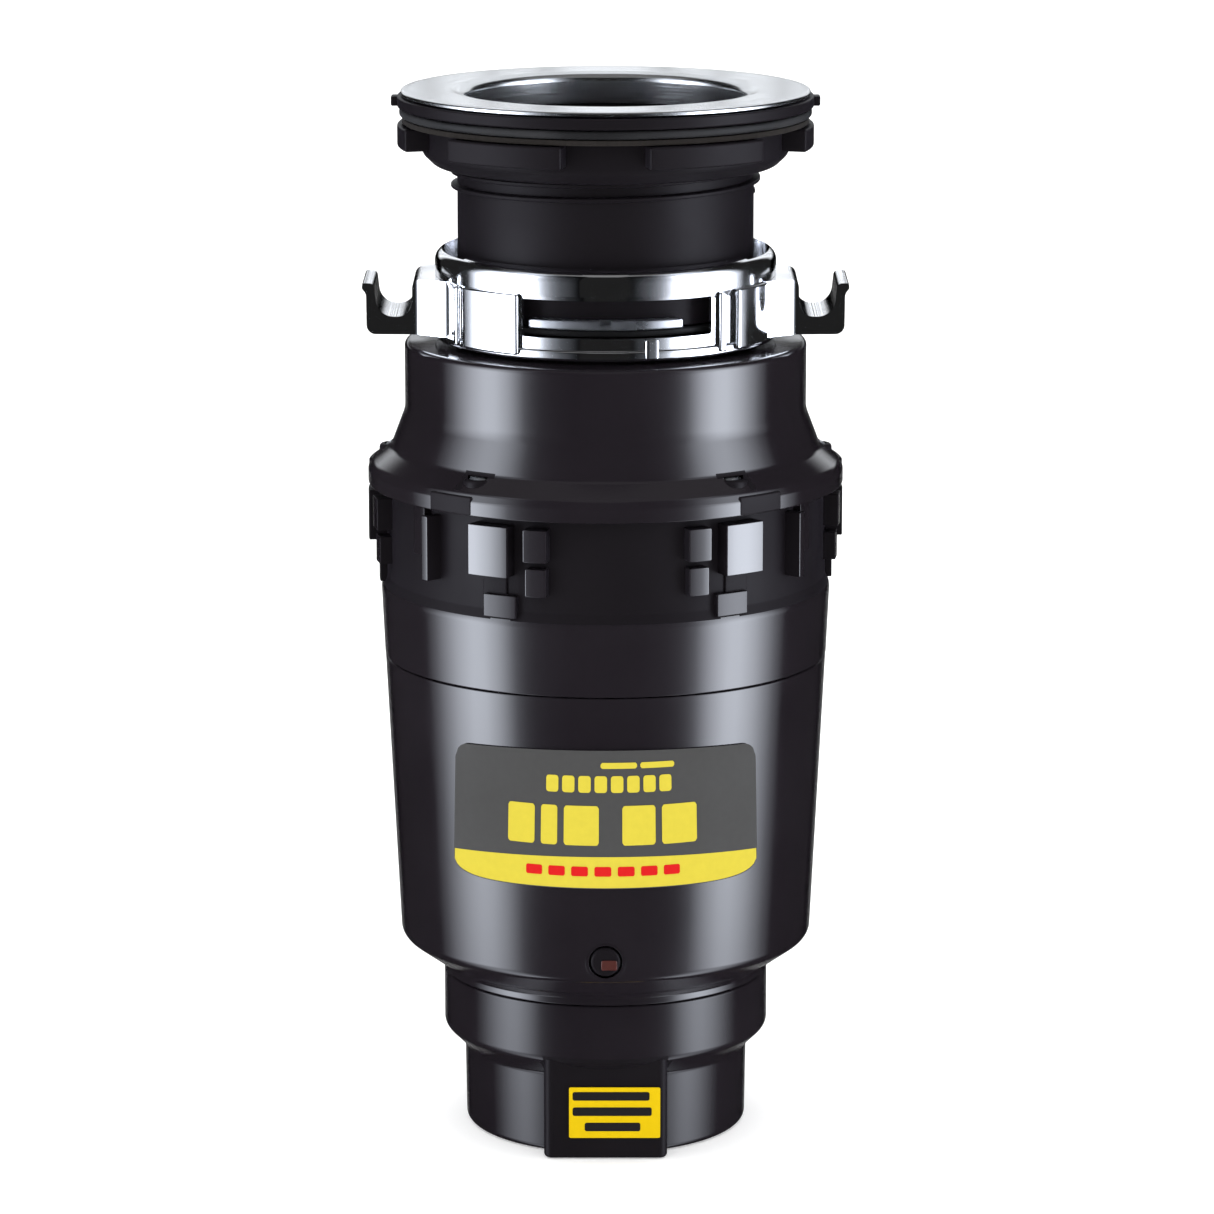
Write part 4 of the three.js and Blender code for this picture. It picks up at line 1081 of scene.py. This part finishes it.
def make_drain_parts():
    gasket_low, gasket_high = limits("drain_gasket")
    gasket = spun(tube("gasket", DRAIN_BORE, 18.3, gasket_low.y, gasket_high.y, 0.5, 96), -90, "X")
    finish_piece(moved(gasket, z=DRAIN_Z), "drain_seal", RUBBER, "housing", ["drain_gasket"])
    back = DRAIN_LOW.y
    reach = DRAIN_HIGH.x - 0.05
    half = [(-reach, -4, 3), (-reach + 4, -7, 4), (-14, -17.95, 6), (14, -17.95, 6), (reach - 4, -7, 4),
            (reach, -4, 3)]
    outline = rounded(half + [(-x, -z, r) for x, z, r in half], 6)
    plate = prism("plate", outline, back, back + 3, 0.4)
    rim = tube("rim", 12, 18, back + 0.1, DRAIN_HIGH.y, 0.6, 96)
    join(plate, [rim])
    bore = rod("bore", DRAIN_BORE, back - 1, DRAIN_HIGH.y + 1, edge=0, sides=96)
    holes = [rod("hole", 2.4, back - 1, back + 4, (x, 0), 0) for x in (-DRAIN_SCREW_X, DRAIN_SCREW_X)]
    cut(plate, [bore, *holes])
    along_y(plate, 0, 0, DRAIN_Z)
    finish_piece(plate, "drain_plate", STEEL, "housing", ["drain_flange"])


def make_screw(name, node, head_r, head_h, shank_r, length, place, direction):
    """A cross-recess pan-head screw with a rolled thread."""
    ridges = []
    z = -1.2
    while z > -length + 2.4:
        ridges += [(shank_r, z), (shank_r * 0.8, z - 0.5)]
        z -= 1.0
    outline = [(0, -length), (shank_r * 0.3, -length + 0.4), *reversed(ridges), (shank_r * 0.9, 0)]
    outline += rounded([(head_r * 0.9, 0), (head_r, 0.1, 0.1), (head_r, head_h * 0.55, 0.3),
                        (head_r * 0.72, head_h, 0.9), (0, head_h)], 4)
    outline.append((0, head_h))
    body = revolve("screw", outline, 32)
    arm = block("arm", (-head_r * 0.52, -0.35, head_h * 0.3), (head_r * 0.52, 0.35, head_h + 1), 0)
    cut(body, [arm, copied(arm, 90)])
    turned(body, Vector((0, 0, 1)).rotation_difference(Vector(direction)).to_matrix().to_4x4())
    moved(body, *place)
    finish_piece(body, name, STEEL, "housing", [node])


def make_screws():
    for i, azimuth in enumerate(SCREW_AZIMUTHS):
        x, y = on_circle(SCREW_R, azimuth)
        make_screw(f"rim_screw_{i + 1}", f"hopper_screw_{i + 1}", 3.6, 2.2, 1.8, 22,
                   (x, y, 194.9), (0, 0, 1))
    for letter, side in (("a", 1), ("b", -1)):
        make_screw(f"flange_screw_{letter}", f"drain_screw_{letter}", 4, 2.4, 1.6, 11,
                   (side * DRAIN_SCREW_X, DRAIN_FACE + 5.9, DRAIN_Z), (0, 1, 0))
        make_screw(f"base_screw_{letter}", f"cap_screw_{letter}", 2.9, 2, 1.5, 20,
                   (side * CAP_SCREW_X, 0, 29.7), (0, 0, -1))


def make_reset_button():
    outline = rounded([
        (0, 0.05),
        (2.6, 0.05, 0.6),
        (3.4, 0, 0.3),
        (4.15, 0.35, 0.5),
        (4.15, 1.55, 0.2),
        (1.8, 1.55, 0.2),
        (1.8, BUTTON_FACE - 50.9, 0.3),
        (0, BUTTON_FACE - 50.9),
    ], 5)
    # The button body is dark dull black as painted shade, and the red patch at its upper right is its painted
    # lit part.
    button = along_y(revolve("button", outline, 64), 0, -BUTTON_FACE + BUTTON_SUNK, BUTTON_Z)
    finish_piece(button, "overload_button", SATIN_AND_SHADE_BLACK, "reset_button", ["reset_button"])
    plan = rounded([(-1.2, -0.5, 0.5), (3.2, -0.5, 0.5), (3.2, 2.3, 0.5), (-1.2, 2.3, 0.5)])
    lit_patch = along_y(prism("lit_patch", plan, -0.28, 0.4, 0.2), 0, -BUTTON_FACE + BUTTON_SUNK, BUTTON_Z)
    finish_piece(lit_patch, "overload_button_lit_patch", RED, "reset_button")


# ---------------------------------------------------------------- labels
def film(name, low_at, high_at, start, end, lift, thick, columns=96, rows=4):
    """A film wrapped on the tapered cover.

    start and end run from -1 to 1 across the label, and low_at and high_at give its edges there.
    """
    bm = bmesh.new()
    layers = []
    for depth in (lift, lift + thick):
        grid = []
        for i in range(columns + 1):
            across = start + (end - start) * i / columns
            low, high = low_at(across), high_at(across)
            column = []
            for k in range(rows + 1):
                z = low + (high - low) * k / rows
                x, y = on_circle(shell_radius(z) + depth, across * label_half(z))
                column.append(bm.verts.new((x * MM, y * MM, z * MM)))
            grid.append(column)
        layers.append(grid)
    for grid in layers:
        for i in range(columns):
            for k in range(rows):
                bm.faces.new([grid[i][k], grid[i + 1][k], grid[i + 1][k + 1], grid[i][k + 1]])
    inner, outer = layers
    for i in range(columns):
        bm.faces.new([inner[i][0], inner[i + 1][0], outer[i + 1][0], outer[i][0]])
        bm.faces.new([inner[i][rows], inner[i + 1][rows], outer[i + 1][rows], outer[i][rows]])
    for k in range(rows):
        bm.faces.new([inner[0][k], inner[0][k + 1], outer[0][k + 1], outer[0][k]])
        bm.faces.new([inner[columns][k], inner[columns][k + 1], outer[columns][k + 1], outer[columns][k]])
    return new_object(name, bm)


LABEL_TOP = 123.0
LABEL_BOTTOM = 83.3
LABEL_CORNER = 0.09  # of the half width
LABEL_HALF_WIDTH = 43


def label_half(z):
    """Azimuth of the label's ends in degrees, so that its sides stay upright on the taper."""
    return 43.9 - 0.07 * (z - 91)


def label_top(across):
    into = max(0.0, abs(across) - (1 - LABEL_CORNER)) / LABEL_CORNER
    return LABEL_TOP - 1.4 * across * across - 4 * (1 - math.sqrt(max(0.0, 1 - min(1.0, into) ** 2)))


def label_bottom(across):
    return LABEL_BOTTOM + 5 * (1 - math.sqrt(max(0.0, 1 - min(1.0, abs(across)) ** 8)))


def band_top(across):
    return 92.5 - 1.8 * across * across


def rounded_bar(start, end, low, high, corner):
    """Edge heights of a bar with rounded ends, for film()."""
    reach = corner / LABEL_HALF_WIDTH

    def inset(across):
        into = max(0.0, reach - (across - start), reach - (end - across)) / reach
        return corner * (1 - math.sqrt(max(0.0, 1 - min(1.0, into) ** 2)))

    return (lambda a: low + inset(a)), (lambda a: high - inset(a))


def add_bar(name, start, end, low, high, material, corner):
    bottom, top = rounded_bar(start, end, low, high, corner)
    bar = film(name, bottom, top, start, end, 0.66, 0.06, 24, 1)
    finish_piece(bar, name, material, "housing")


def make_main_label():
    plate = film("label", label_bottom, label_top, -1, 1, 0.3, 0.3)
    finish_piece(plate, "rating_label", LABEL_GREY, "housing", ["main_label"])
    band = film("band", lambda a: label_bottom(a / 0.995) + 0.25, band_top, -0.992, 0.992, 0.55, 0.1)
    finish_piece(band, "label_band", LABEL_YELLOW, "housing")
    marks = [(-0.03, 0.19, 117.9, 119.6), (0.21, 0.42, 117.9, 119.6)]
    marks += [(-0.36 + 0.098 * i, -0.285 + 0.098 * i, 111.0, 115.8) for i in range(8)]
    large = [(-0.6, -0.43), (-0.39, -0.29), (-0.25, -0.04), (0.1, 0.3), (0.34, 0.56)]
    marks += [(start, end, 95.8, 107.2) for start, end in large]
    for i, (start, end, low, high) in enumerate(marks):
        corner = min(0.8, (high - low) * 0.3)
        add_bar(f"label_mark_{i + 1}", start, end, low, high, LABEL_YELLOW, corner)
    for i in range(7):
        start = -0.48 + i * 0.138
        add_bar(f"label_red_mark_{i + 1}", start, start + 0.1, 86.9, 89.7, INK_RED, 0.5)


def make_sticker():
    low, high = limits("reset_label")
    plan = rounded([(low.x, low.z, 0.5), (high.x, low.z, 0.5), (high.x, high.z, 0.5), (low.x, high.z, 0.5)])
    back, front = -high.y, -low.y
    plate = spun(prism("plate", plan, back, front - 0.1, 0.05), 90, "X")
    finish_piece(plate, "switch_sticker", STICKER_YELLOW, "housing", ["reset_label"])
    rows = [(low.x + 1, high.x - 3), (low.x + 1, high.x - 2.4), (low.x + 4.4, high.x - 5.6)]
    for i, (start, end) in enumerate(rows):
        z = 17.4 - 4.5 * i
        bar_plan = rounded([(start, z, 0.6), (end, z, 0.6), (end, z + 2.5, 0.6), (start, z + 2.5, 0.6)])
        bar = spun(prism("bar", bar_plan, front - 0.12, front - 0.02, 0), 90, "X")
        finish_piece(bar, f"sticker_mark_{i + 1}", INK_BLACK, "housing")


make_sink_flange()
make_mount_tube()
make_clamp_rings()
make_support_nut()
make_baffle()
make_mount_ring()
make_snap_ring()
make_hopper()
make_grind_housing()
make_motor_shell()
make_bottom_cap()
make_gland()
make_drain_parts()
make_screws()
make_reset_button()
make_main_label()
make_sticker()


# ---------------------------------------------------------------- carried-over CAD nodes
SLOT_MATERIALS = {
    "black_gloss": BLACK, "black_inner": INNER, "rubber": RUBBER, "fibre": FIBRE, "chrome": CHROME,
    "stainless": STAINLESS, "steel": STEEL, "bearing_steel": RACE_STEEL, "ferrite": FERRITE, "copper": COPPER,
    "brass": BRASS, "carbon": CARBON, "cast_aluminium": CAST, "label_grey": LABEL_GREY,
    "label_yellow": LABEL_YELLOW, "red_button": RED,
}
for part in frame["record"]["subparts"]:
    node = frame["nodes"][part["node"]]
    if node.hide_render:
        continue
    node.data.materials.clear()
    node.data.materials.append(SLOT_MATERIALS[part["material_slot"]])
